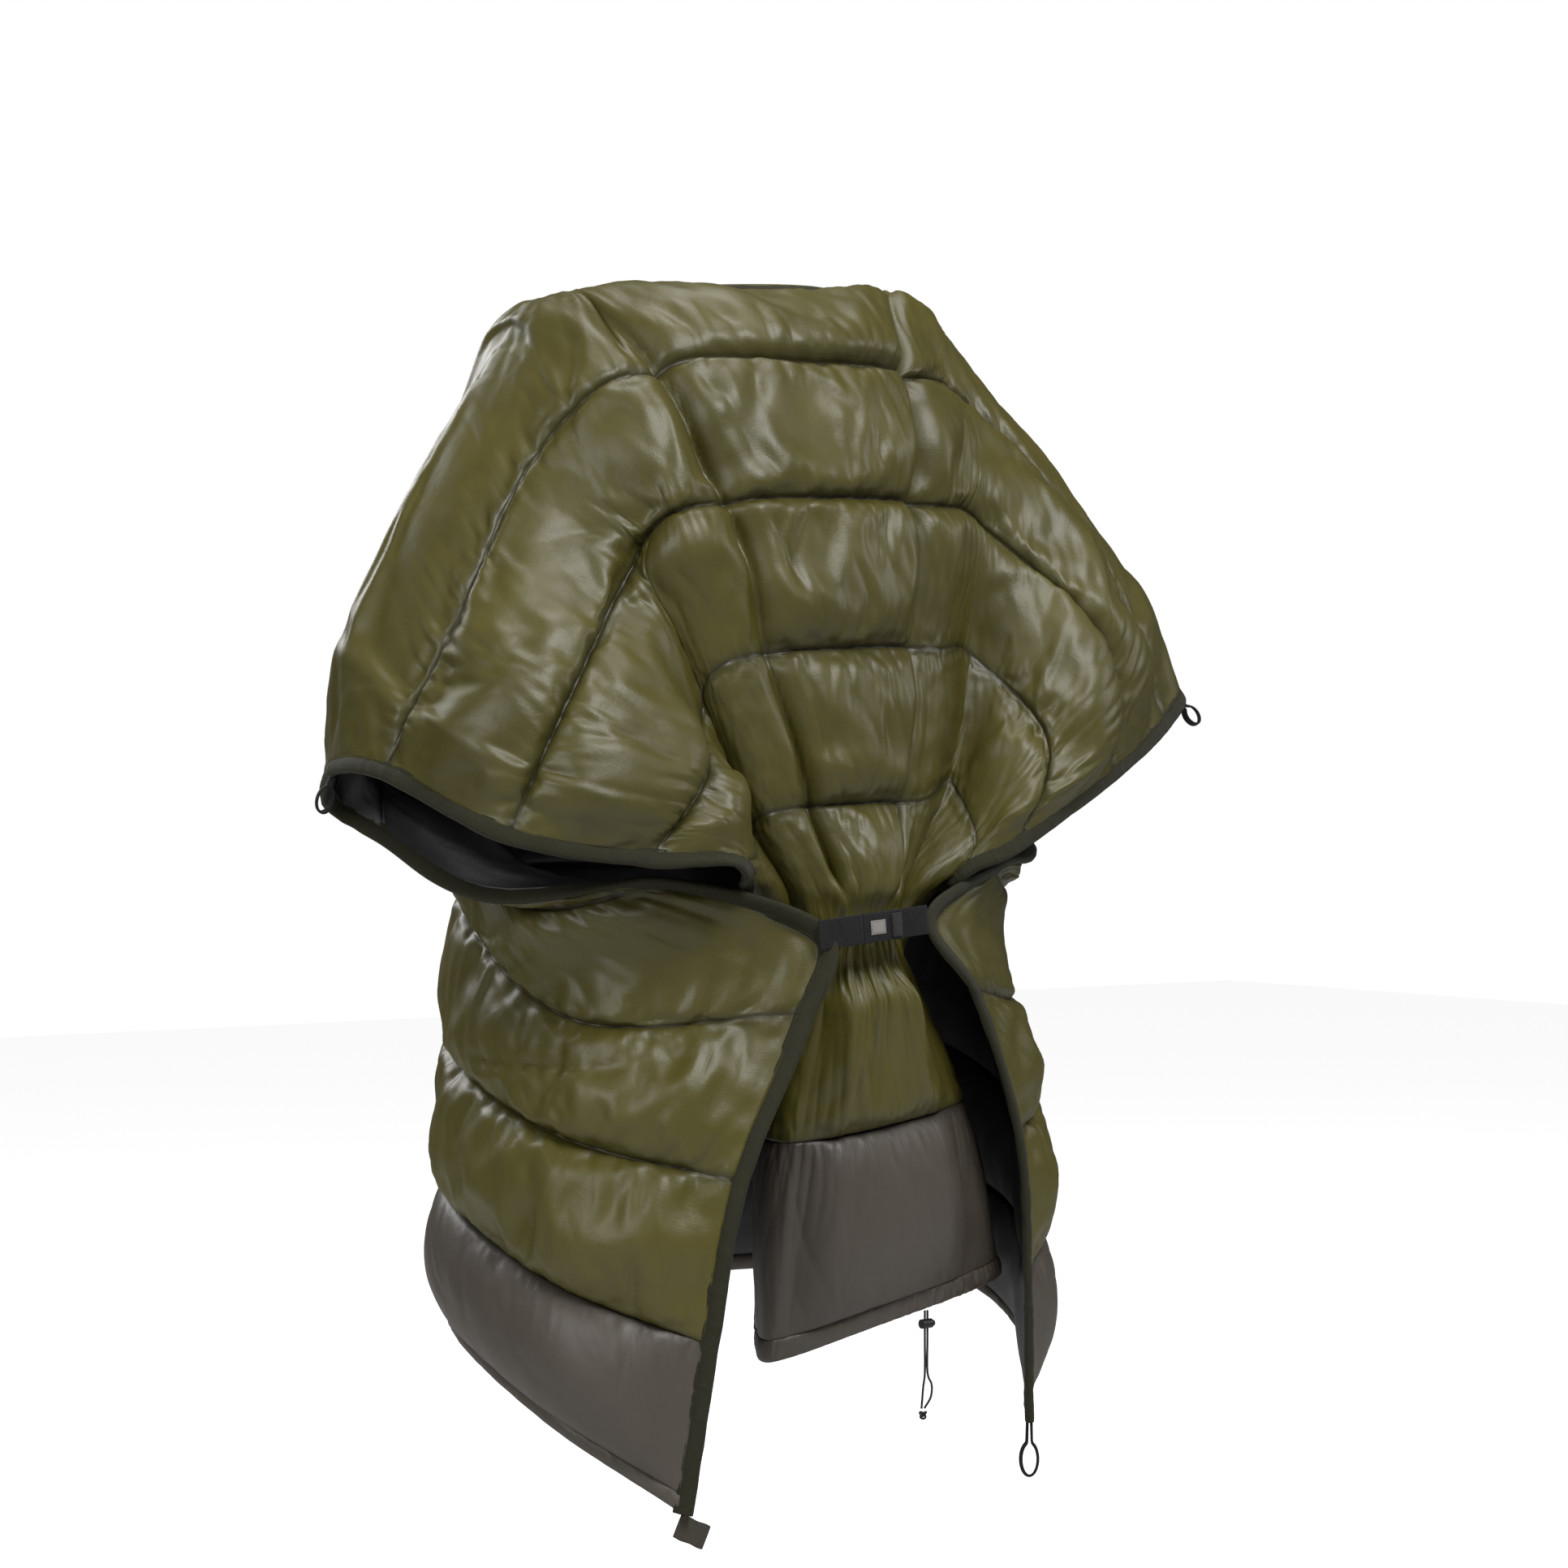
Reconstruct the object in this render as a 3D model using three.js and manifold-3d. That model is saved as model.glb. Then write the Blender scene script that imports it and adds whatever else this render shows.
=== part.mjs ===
// A wearable camp quilt: one baffled down quilt with a slit across its middle, worn as a poncho.
// Millimetres, +Z up. The wearer faces -Y, and the origin is where the quilt rests on the wearer's shoulders.
// The wearer is not part of the model, so the quilt hangs hollow, in the drape that it takes when it is worn.
import * as THREE from 'three';
import { mergeVertices } from 'three/addons/utils/BufferGeometryUtils.js';
import Module from 'manifold-3d';

const wasm = await Module();
wasm.setup();

// ---- driving dimensions -------------------------------------------------------------------------
const quiltWidth = 1400;            // across the baffles, edge to edge, laid flat
const quiltLength = 2100;           // hem to hem, laid flat
const slitLength = 400;             // head opening, along the width
const collarChamber = 105;          // half of the middle chamber, from the slit to the first seam
const endPanel = 170;               // darker end chamber at each hem
const crownThickness = 30;          // of the fill, at the middle of a chamber
const seamThickness = 4;            // of the fill, beside a seam
const edgeThickness = 5;            // of the fill, beside the edge binding
const seamGap = 2;                  // between two chambers' fill, at a seam
const skinThickness = 0.8;          // outer shell and lining
const skinGap = 1.5 * (quiltLength / 2100) ** 3;   // between the fill and each skin, wider on a longer quilt
const clearance = 0.3;              // between two pieces that touch
const bindingWidth = 10;            // of the edge binding, along the quilt
const bindingThickness = 6;
const bindingGap = 2.5;             // from the fill's edge to the binding
const neckBindingWidth = 8;
const neckBindingThickness = 6;
const slitStitch = 14;              // sewn shut at each end of the slit
const hemChannelWidth = 20;         // sewn tube along each hem
const hemChannelThickness = 9;
const cordDiameter = 2.2;
const strapWidth = 27;              // belt webbing
const strapThickness = 1.6;
const shoulderRise = 80;            // from the slit's end until the shoulder chamber is full
const edgeTaper = 90;               // over which the fill thins to the edge binding
const tuckStart = 100;              // the front's tucked sides, under the belt, start this far from the middle
const underArmStart = 262;          // the back's sides, folded forward under the arms
const underArmHold = 60;            // how far along the quilt the underarm stays at its thinnest, each way
const foldEnd = 400;                // the fold beside the chest ends this far from the middle
const tuckRise = 80;
const beltPinch = 60;               // on each side of the belt, where the front is gathered
const drapeScaleX = quiltWidth / 1400;
const drapeScaleZ = quiltLength / 2100;

// ---- the drape ----------------------------------------------------------------------------------
// Guide lines run from the slit to a hem. Each guide is a fixed distance across the quilt from the middle,
// and each row is a fixed distance along it from the slit. Points are [x, y, z] where the quilt's middle surface is.
const halfWidth = quiltWidth / 2;
const halfSlit = slitLength / 2;
const halfLength = quiltLength / 2;
const chamberPitch = (halfLength - collarChamber - endPanel) / 5;
const seams = [0, 1, 2, 3, 4, 5].map((n) => collarChamber + n * chamberPitch);
const guideAcross = [0, 0.286, 0.5, 0.743, 1].map((share) => share * halfWidth);
guideAcross[1] = halfSlit;
const frontRows = [0, ...seams, halfLength];
const beltRow = seams[2] + 0.55 * chamberPitch;
const armRow = seams[1] + 0.5 * chamberPitch;
const backRows = [0, seams[0], seams[1], armRow, seams[2], beltRow, seams[3], seams[4], seams[5], halfLength];

const frontMiddle = [
  [0, -75, 12], [0, -160, -76], [2, -198, -203], [4, -212, -342], [6, -222, -487], [0, -236, -612],
  [25, -215, -790], [45, -195, -960]];
const frontNear = [
  [[-182, 0, -14], [-190, -135, -92], [-175, -200, -220], [-140, -212, -358], [-95, -218, -494],
    [-48, -228, -612], [-60, -205, -800], [-62, -178, -985]],
  [[-256, 0, -100], [-278, -98, -182], [-212, -160, -275], [-158, -194, -402], [-104, -195, -512],
    [-56, -204, -610], [-58, -152, -800], [-46, -128, -985]],
  [[-345, 0, -248], [-360, -110, -330], [-312, -215, -400], [-191, -243, -468], [-130, -238, -534],
    [-66, -192, -610], [-22, -100, -800], [-4, -72, -985]],
  [[-426, 0, -450], [-420, -88, -455], [-368, -215, -510], [-251, -259, -531], [-162, -268, -539],
    [-81, -164, -610], [14, -50, -800], [30, -16, -985]]];
const frontFar = [
  [[176, -8, 14], [118, -138, -76], [120, -180, -203], [108, -196, -340], [86, -206, -484],
    [40, -224, -606], [135, -190, -778], [185, -165, -942]],
  [[246, -26, -50], [214, -85, -84], [190, -148, -212], [172, -168, -342], [138, -180, -466],
    [54, -200, -602], [180, -135, -775], [232, -130, -936]],
  [[350, -60, -166], [322, -148, -222], [278, -222, -322], [210, -240, -425], [131, -233, -518],
    [66, -198, -602], [176, -72, -780], [222, -62, -940]],
  [[490, -110, -372], [426, -165, -404], [305, -225, -456], [165, -255, -520], [113, -229, -551],
    [98, -174, -600], [160, -15, -785], [196, 4, -945]]];
const backMiddle = [
  [0, 62, 30], [0, 118, -84], [0, 158, -250], [0, 160, -325], [0, 160, -400], [0, 160, -482], [0, 165, -550],
  [0, 175, -690], [0, 180, -830], [0, 182, -965]];
const backNear = [
  [[-182, 0, -14], [-196, 82, -100], [-192, 130, -262], [-186, 136, -335], [-182, 138, -405], [-176, 140, -488],
    [-180, 144, -556], [-185, 152, -695], [-190, 157, -838], [-192, 160, -968]],
  [[-256, 0, -100], [-280, 70, -196], [-282, 98, -365], [-270, 80, -437], [-262, 56, -502], [-252, 40, -560],
    [-252, 38, -612], [-262, 42, -738], [-270, 45, -868], [-274, 46, -980]],
  [[-345, 0, -248], [-352, 66, -340], [-335, 78, -445], [-289, -5, -509], [-272, -86, -580], [-244, -126, -640],
    [-244, -138, -686], [-262, -142, -790], [-274, -138, -920], [-280, -134, -1034]],
  [[-426, 0, -450], [-396, 72, -480], [-347, 54, -514], [-313, -78, -567], [-208, -196, -560], [-76, -262, -606],
    [-94, -264, -676], [-166, -264, -822], [-191, -254, -966], [-208, -242, -1100]]];
const backFar = [
  [[176, -8, 14], [196, 76, -92], [192, 130, -258], [188, 135, -328], [184, 138, -402], [178, 140, -486],
    [182, 144, -554], [188, 154, -692], [194, 158, -834], [198, 160, -966]],
  [[246, -26, -50], [282, 58, -165], [286, 96, -345], [276, 80, -418], [268, 62, -490], [262, 40, -555],
    [264, 36, -608], [280, 36, -730], [292, 38, -860], [300, 38, -970]],
  [[350, -60, -166], [372, 26, -284], [358, 52, -415], [302, -6, -492], [266, -76, -572], [250, -112, -632],
    [254, -118, -680], [282, -100, -776], [298, -92, -900], [304, -86, -1012]],
  [[490, -110, -372], [442, -12, -418], [368, 16, -484], [310, -88, -534], [194, -186, -552], [58, -258, -596],
    [118, -248, -664], [196, -218, -810], [216, -206, -950], [226, -196, -1074]]];

// Slopes of a smooth curve through the values at the knots, then its value at x (cubic, non-uniform).
function curveAt(knots, values, x) {
  let i = 0;
  while (i < knots.length - 2 && x > knots[i + 1]) i += 1;
  const span = knots[i + 1] - knots[i];
  const t = (x - knots[i]) / span;
  const slope = (k) => {
    const before = Math.max(k - 1, 0);
    const after = Math.min(k + 1, knots.length - 1);
    return (values[after] - values[before]) / (knots[after] - knots[before]);
  };
  if (t < 0) return values[i] + slope(i) * (x - knots[i]);
  if (t > 1) return values[i + 1] + slope(i + 1) * (x - knots[i + 1]);
  const a = 2 * t ** 3 - 3 * t ** 2 + 1;
  const b = t ** 3 - 2 * t ** 2 + t;
  const c = -2 * t ** 3 + 3 * t ** 2;
  const d = t ** 3 - t ** 2;
  return a * values[i] + b * span * slope(i) + c * values[i + 1] + d * span * slope(i + 1);
}

function guidePoint(knots, points, v) {
  return [0, 1, 2].map((axis) => curveAt(knots, points.map((p) => p[axis]), v));
}

const wholeRows = [...frontRows.slice(1).reverse().map((v) => -v), ...backRows];
const joinGuides = (front, back) => front.map((guide, n) => [...guide.slice(1).reverse(), ...back[n]]);
const nearGuides = joinGuides(frontNear, backNear);
const farGuides = joinGuides(frontFar, backFar);
const acrossKnots = [...guideAcross.slice(1).reverse().map((u) => -u), ...guideAcross];

// The middle surface: u across the quilt (the wearer's right is negative), v along it (front negative).
// The side says which lip of the slit a point at v = 0 belongs to.
function drape(u, v, side) {
  const front = guidePoint(frontRows, frontMiddle, Math.abs(v));
  const back = guidePoint(backRows, backMiddle, Math.abs(v));
  const own = side < 0 ? front : back;
  const share = Math.abs(u) <= halfSlit ? 1 : Math.min(1, Math.abs(v) / collarChamber);
  const middle = own.map((value, k) => share * value + (1 - share) * (front[k] + back[k]) / 2);
  const near = nearGuides.map((guide) => guidePoint(wholeRows, guide, v));
  const far = farGuides.map((guide) => guidePoint(wholeRows, guide, v));
  const row = [...near.reverse(), middle, ...far];
  const [x, y, z] = [0, 1, 2].map((axis) => curveAt(acrossKnots, row.map((p) => p[axis]), u));
  return new THREE.Vector3(x * drapeScaleX, y, z * drapeScaleZ);
}

// Outward normal of the middle surface. On the slit's lips it is worked out from their own side only.
function drapeNormal(u, v, side) {
  const step = 4;
  const onLip = Math.abs(u) <= halfSlit && Math.abs(v) < 2 * step;
  const vMiddle = onLip ? Math.sign(side) * 2 * step : v;
  const sideAt = (value) => (value === 0 ? side : Math.sign(value));
  const point = (uu, vv) => drape(uu, vv, sideAt(vv));
  const across = point(u + step, v).sub(point(u - step, v));
  const along = point(u, vMiddle + step).sub(point(u, vMiddle - step));
  return across.cross(along).normalize();
}

const smooth = (t) => {
  const x = Math.min(1, Math.max(0, t));
  return x * x * (3 - 2 * x);
};
const crownAt = (share) => Math.sqrt(Math.max(0, Math.sin(Math.PI * Math.min(1, Math.max(0, share)))));

// Share of the full crown at (u, v): 0 on a seam, 1 in the middle of a chamber. The middle chamber runs over
// the shoulders in one, and beside the slit it is two narrow collars that are sewn down at the lips.
function crownShare(u, v) {
  const reach = Math.abs(v);
  const ends = [...seams, halfLength];
  if (reach >= seams[0]) {
    const n = Math.min(ends.length - 2, ends.findIndex((end, k) => reach <= (ends[k + 1] ?? Infinity)));
    return crownAt((reach - ends[n]) / (ends[n + 1] - ends[n]));
  }
  const collar = crownAt((reach - neckBindingWidth) / (seams[0] - neckBindingWidth));
  const shoulder = crownAt((v + seams[0]) / (2 * seams[0]));
  const past = smooth((Math.abs(u) - halfSlit) / shoulderRise);
  return (1 - past) * collar + past * shoulder;
}

// How far the front's sides are folded and squeezed together at (u, v): 0 free, 1 pressed flat.
function tuckShare(u, v) {
  const beside = smooth((Math.abs(u) - tuckStart) / tuckRise);
  const folded = beside * (1 - smooth((Math.abs(u) - foldEnd) / tuckRise)) * smooth((-v - seams[1]) / chamberPitch);
  return Math.max(folded, beside * smooth((-v - seams[2]) / chamberPitch));
}

// How far the back is folded in under an arm at (u, v): 0 free, 1 at its thinnest.
function underArmShare(u, v) {
  const beyondArm = smooth((Math.abs(u) - underArmStart) / tuckRise);
  const fromArm = Math.max(0, Math.abs(v - (armRow + beltRow) / 2) - underArmHold) / chamberPitch;
  return v > 0 ? beyondArm * (1 - smooth(fromArm)) : 0;
}

// Half of the fill's thickness at (u, v). It thins towards the long edges and where the belt gathers it.
function halfFill(u, v) {
  const toEdge = smooth((halfWidth - Math.abs(u)) / edgeTaper + 0.15);
  const pinch = v < 0 ? smooth(Math.abs(-v - seams[4]) / beltPinch) : 1;
  const tucked = tuckShare(u, v);
  const underArm = underArmShare(u, v);
  const crown = (crownThickness - edgeThickness) * toEdge * (0.35 + 0.65 * pinch) * (1 - 0.9 * tucked) * (1 - 0.9 * underArm);
  const full = edgeThickness + crown;
  return (seamThickness + (full - seamThickness) * crownShare(u, v)) / 2;
}

// ---- closed solids on the drape -----------------------------------------------------------------
// A slab joins two copies of a grid, one on each side of the middle surface.
function slabGeometry(inner, outer) {
  const rows = inner.length;
  const columns = inner[0].length;
  const positions = [];
  [inner, outer].forEach((grid) => grid.forEach((row) => row.forEach((p) => positions.push(p.x, p.y, p.z))));
  const at = (layer, r, c) => layer * rows * columns + r * columns + c;
  const index = [];
  const quad = (a, b, c, d) => index.push(a, b, c, a, c, d);
  for (let r = 0; r < rows - 1; r += 1) {
    for (let c = 0; c < columns - 1; c += 1) {
      quad(at(0, r, c), at(0, r + 1, c), at(0, r + 1, c + 1), at(0, r, c + 1));
      index.push(at(1, r, c), at(1, r + 1, c + 1), at(1, r + 1, c));
      index.push(at(1, r, c), at(1, r, c + 1), at(1, r + 1, c + 1));
    }
  }
  // Facing ends of two slabs are split along the same diagonal, so that a twisted gap stays open.
  for (let r = 0; r < rows - 1; r += 1) {
    const last = columns - 1;
    quad(at(0, r, 0), at(1, r, 0), at(1, r + 1, 0), at(0, r + 1, 0));
    index.push(at(0, r, last), at(1, r + 1, last), at(1, r, last));
    index.push(at(0, r, last), at(0, r + 1, last), at(1, r + 1, last));
  }
  for (let c = 0; c < columns - 1; c += 1) {
    const last = rows - 1;
    quad(at(0, 0, c + 1), at(1, 0, c + 1), at(1, 0, c), at(0, 0, c));
    index.push(at(0, last, c + 1), at(0, last, c), at(1, last, c));
    index.push(at(0, last, c + 1), at(1, last, c), at(1, last, c + 1));
  }
  const geometry = new THREE.BufferGeometry();
  geometry.setAttribute('position', new THREE.Float32BufferAttribute(positions, 3));
  geometry.setIndex(index);
  return geometry;
}

// Stations across the quilt, closer together where it folds beside the chest.
const slitEnds = [halfSlit - slitStitch, halfSlit + slitStitch];
const sideStations = [0.14 * halfWidth, ...slitEnds, ...[0.4, 0.5, 0.575, 0.65, 0.74, 0.83].map((s) => s * halfWidth)];
const acrossStations = [...sideStations.slice().reverse().map((u) => -u), 0, ...sideStations];
const alongShares = [0.28, 0.72];
const middleStations = [0.36, 0.7].map((share) => share * collarChamber);

const gap = seamGap / 2;

function span(stations, from, to) {
  return [from, ...stations.filter((value) => value > from + 6 && value < to - 6), to];
}

// Stations along the quilt: inside one chamber, or in all the chambers of a half out to a given distance.
function chamberStations(n) {
  const ends = [...seams, halfLength];
  return alongShares.map((share) => ends[n] + share * (ends[n + 1] - ends[n]));
}

function halfStations(outTo) {
  const ends = [...seams, halfLength];
  const inside = [0, 1, 2, 3, 4, 5].flatMap((n) => [ends[n] - gap, ends[n] + gap, ...chamberStations(n)]);
  return [...middleStations, ...inside].filter((v) => v < outTo - 1);
}

// One slab on the drape between two offsets from the middle surface. vOf may move a grid point along the quilt.
function drapeSlab(uList, vList, side, lowOf, highOf, vOf = (u, v) => v) {
  const grid = (offsetOf) => vList.map((row) => uList.map((u) => {
    const v = vOf(u, row);
    const sideOf = v === 0 ? side : Math.sign(v);
    const seam = sideOf * ([...seams, halfLength].find((end) => Math.abs(Math.abs(v) - end) <= seamGap) ?? Math.abs(v));
    return drape(u, v, sideOf).addScaledVector(drapeNormal(u, seam, sideOf), offsetOf(u, seam));
  }));
  return slabGeometry(grid(lowOf), grid(highOf));
}

const quilt = new THREE.Group();
const finishes = {
  shell: new THREE.MeshStandardMaterial({ color: 0x55582f, roughness: 0.42, metalness: 0 }),
  endShell: new THREE.MeshStandardMaterial({ color: 0x4b453f, roughness: 0.5, metalness: 0 }),
  lining: new THREE.MeshStandardMaterial({ color: 0x1f2123, roughness: 0.6, metalness: 0 }),
  fill: new THREE.MeshStandardMaterial({ color: 0xd9d4c6, roughness: 0.95, metalness: 0 }),
  binding: new THREE.MeshStandardMaterial({ color: 0x3f3f29, roughness: 0.7, metalness: 0 }),
  webbing: new THREE.MeshStandardMaterial({ color: 0x17181a, roughness: 0.8, metalness: 0 }),
  tape: new THREE.MeshStandardMaterial({ color: 0x4c4a46, roughness: 0.85, metalness: 0 }),
  tab: new THREE.MeshStandardMaterial({ color: 0x5b5348, roughness: 0.8, metalness: 0 }),
  label: new THREE.MeshStandardMaterial({ color: 0xb9b6ae, roughness: 0.6, metalness: 0 }),
  cord: new THREE.MeshStandardMaterial({ color: 0x2a2b2c, roughness: 0.8, metalness: 0 }),
  lock: new THREE.MeshStandardMaterial({ color: 0x141516, roughness: 0.4, metalness: 0 }),
  spring: new THREE.MeshStandardMaterial({ color: 0x9a9c9f, roughness: 0.35, metalness: 0.9 }),
};

function addPiece(name, geometry, finish, parent = quilt) {
  const mesh = new THREE.Mesh(geometry, finishes[finish]);
  mesh.name = name;
  parent.add(mesh);
  return mesh;
}

// ---- fill chambers ------------------------------------------------------------------------------
const cutEdge = halfWidth - clearance;
const lip = neckBindingWidth + clearance;
// Where the fill is pressed flat it draws back from the skins, by more when the quilt is thicker or larger.
const squeeze = 0.055 * crownThickness * Math.max(drapeScaleX, drapeScaleZ);
const fillTop = (u, v) => Math.max(0.3, halfFill(u, v) - squeeze * Math.max(tuckShare(u, v), underArmShare(u, v)));
const fillUnder = (u, v) => -fillTop(u, v);

function addFill(name, uFrom, uTo, vList, side) {
  addPiece(name, drapeSlab(span(acrossStations, uFrom, uTo), vList, side, fillUnder, fillTop), 'fill');
}

const chamberNames = ['chest', 'midriff', 'waist', 'belt', 'lap', 'end'];
const chamberEnds = [...seams, halfLength];
chamberNames.forEach((place, n) => {
  const vList = [chamberEnds[n] + gap, ...chamberStations(n), chamberEnds[n + 1] - gap];
  addFill(`front_fill_${place}`, -cutEdge, cutEdge, vList.map((v) => -v).reverse(), -1);
  addFill(`back_fill_${place}`, -cutEdge, cutEdge, vList, 1);
});
const collarList = [lip, ...middleStations, seams[0] - gap];
const shoulderHalf = [...middleStations, seams[0] - gap];
const shoulderList = [...shoulderHalf.map((v) => -v).reverse(), 0, ...shoulderHalf];
addFill('right_shoulder_fill', -cutEdge, -halfSlit - slitStitch, shoulderList, -1);
addFill('left_shoulder_fill', halfSlit + slitStitch, cutEdge, shoulderList, -1);
addFill('front_collar_fill', -halfSlit + slitStitch, halfSlit - slitStitch, collarList.map((v) => -v).reverse(), -1);
addFill('back_collar_fill', -halfSlit + slitStitch, halfSlit - slitStitch, collarList, 1);

// ---- outer shell and lining ---------------------------------------------------------------------
// A skin lies on one face of the fill. Beside the slit it stops at the neck binding, and on the shoulders
// the front and back skins meet along the top of the arm.
const skinStart = (u, v) => (Math.abs(v) > 1 ? v : Math.sign(v) * (Math.abs(u) > halfSlit + 1 ? clearance : lip));
const skinLow = (u, v) => halfFill(u, v) + skinGap;
const skinHigh = (u, v) => halfFill(u, v) + skinGap + skinThickness;

function addSkin(name, vFrom, vTo, side, face, finish) {
  const reach = [vFrom, ...halfStations(vTo).filter((v) => v > vFrom + 1), vTo];
  const vList = side < 0 ? reach.map((v) => -v).reverse() : reach;
  const low = face > 0 ? skinLow : (u, v) => -skinHigh(u, v);
  const high = face > 0 ? skinHigh : (u, v) => -skinLow(u, v);
  const uList = span(acrossStations, -cutEdge, cutEdge);
  addPiece(name, drapeSlab(uList, vList, side, low, high, skinStart), finish);
}

const panelSeam = seams[5];
const start = 0.5;
[['front', -1], ['back', 1]].forEach(([half, side]) => {
  addSkin(`${half}_shell`, start, panelSeam - clearance, side, 1, 'shell');
  addSkin(`${half}_end_shell`, panelSeam + clearance, halfLength, side, 1, 'endShell');
  addSkin(`${half}_lining`, start, halfLength, side, -1, 'lining');
});

// ---- bindings and hem channels ------------------------------------------------------------------
// On a long edge: its point, the outward direction square to the edge, and the quilt's normal there.
function edgeFrame(sign, v) {
  const step = 6;
  const point = drape(sign * halfWidth, v, Math.sign(v) || -1);
  const ahead = drape(sign * halfWidth, v + step, Math.sign(v + step));
  const behind = drape(sign * halfWidth, v - step, Math.sign(v - step));
  const along = ahead.sub(behind).normalize();
  const normal = drapeNormal(sign * halfWidth, v, Math.sign(v) || -1);
  const out = new THREE.Vector3().crossVectors(along, normal).multiplyScalar(sign).normalize();
  return { point, normal, out, along };
}

const flat = (half) => [(u, v) => -half, (u, v) => half];
const wholeLength = [...[...halfStations(halfLength), halfLength].map((v) => -v).reverse(), 0,
  ...halfStations(halfLength), halfLength];
const hemEnd = halfLength + hemChannelWidth;
const edgeList = [-hemEnd, ...wholeLength, hemEnd];
[['right', -1], ['left', 1]].forEach(([name, sign]) => {
  const columns = [bindingGap, bindingGap + bindingWidth].sort((a, b) => sign * (a - b));
  const grid = (offset) => edgeList.map((v) => columns.map((reach) => {
    const edge = edgeFrame(sign, v);
    return edge.point.addScaledVector(edge.out, reach).addScaledVector(edge.normal, offset);
  }));
  const half = bindingThickness / 2;
  addPiece(`${name}_edge_binding`, slabGeometry(grid(-half), grid(half)), 'binding');
});
[['front', -1], ['back', 1]].forEach(([half, side]) => {
  const hemList = [halfLength + seamGap / 2, hemEnd].map((v) => side * v).sort((a, b) => a - b);
  const uHem = span(acrossStations, -cutEdge, cutEdge);
  addPiece(`${half}_hem_channel`, drapeSlab(uHem, hemList, side, ...flat(hemChannelThickness / 2)),
    'endShell');
  const neckList = [clearance, neckBindingWidth].map((v) => side * v).sort((a, b) => a - b);
  const uNeck = span(acrossStations, -halfSlit + slitStitch, halfSlit - slitStitch);
  addPiece(`${half}_neck_binding`, drapeSlab(uNeck, neckList, side, ...flat(neckBindingThickness / 2)), 'binding');
});

// ---- belt ---------------------------------------------------------------------------------------
// Two webbing straps are sewn to the long edges of the back half and close over the front with hook and loop.
const belt = new THREE.Group();
belt.position.set(-18, -273, -600);
belt.rotation.y = THREE.MathUtils.degToRad(-5);
quilt.add(belt);
const beltHalf = 64;                // from the belt's middle to the sewn end of either strap
const flapHinge = -14;              // where the right strap stops being held and becomes the free flap
const flapEnd = 30;
const leftStrapEnd = -10;           // the left strap's hidden end, behind the flap
const patchThickness = 1.2;
const patchHeight = 22;
const pullLength = 13;
const labelWidth = 17;
const labelHeight = 13;
const labelThickness = 0.6;

function plate(name, xFrom, xTo, height, thickness, depth, finish, parent) {
  const geometry = new THREE.BoxGeometry(xTo - xFrom, thickness, height);
  const mesh = addPiece(name, geometry, finish, parent);
  mesh.position.set((xFrom + xTo) / 2, depth, 0);
  return mesh;
}

const flapDepth = 0;
const hookDepth = flapDepth + strapThickness / 2 + clearance + patchThickness / 2;
const loopDepth = hookDepth + patchThickness + clearance;
const leftDepth = loopDepth + patchThickness / 2 + clearance + strapThickness / 2;
const labelDepth = flapDepth - strapThickness / 2 - clearance - labelThickness / 2;
plate('right_belt_strap', -beltHalf, flapHinge - clearance, strapWidth, strapThickness, flapDepth, 'webbing', belt);
plate('belt_flap', flapHinge, flapEnd, strapWidth, strapThickness, flapDepth, 'webbing', belt);
plate('hook_patch', flapHinge + 4, flapEnd - pullLength, patchHeight, patchThickness, hookDepth, 'tape', belt);
plate('loop_patch', flapHinge + 4, flapEnd - pullLength + 2, patchHeight, patchThickness, loopDepth, 'tape', belt);
plate('left_belt_strap', leftStrapEnd, beltHalf, strapWidth, strapThickness, leftDepth, 'webbing', belt);
plate('pull_tab', flapEnd - pullLength + 1, flapEnd - 1, strapWidth - 5, strapThickness, labelDepth - 0.5, 'tape', belt);
plate('blank_label', flapHinge + 8, flapHinge + 8 + labelWidth, labelHeight, labelThickness, labelDepth, 'label', belt);

// ---- webbing loops and tab at the corners and wing tips -------------------------------------------
// A loop hangs from its sewn end in its own XZ plane: a flat neck, then an eye.
function webbingLoop(name, place, turn, size, parent = quilt) {
  const { neckWidth, neckLength, eyeWidth, eyeHeight, wall, width } = size;
  const outline = new THREE.Shape();
  outline.moveTo(-neckWidth / 2, 0);
  outline.lineTo(neckWidth / 2, 0);
  outline.lineTo(neckWidth / 2, -neckLength);
  const middle = -neckLength - eyeHeight / 2;
  const startAngle = Math.PI / 2 - Math.asin(neckWidth / eyeWidth);
  outline.absellipse(0, middle, eyeWidth / 2, eyeHeight / 2, startAngle, Math.PI - startAngle, true);
  outline.lineTo(-neckWidth / 2, -neckLength);
  const eye = new THREE.Path();
  eye.absellipse(0, middle, eyeWidth / 2 - wall, eyeHeight / 2 - wall, 0, 2 * Math.PI, false);
  outline.holes.push(eye);
  const geometry = new THREE.ExtrudeGeometry(outline, { depth: width, bevelEnabled: false, curveSegments: 5 });
  geometry.translate(0, 0, -width / 2);
  geometry.rotateX(Math.PI / 2);
  const loop = addPiece(name, geometry, 'webbing', parent);
  loop.position.copy(place);
  loop.rotation.set(...turn);
  return loop;
}

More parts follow.
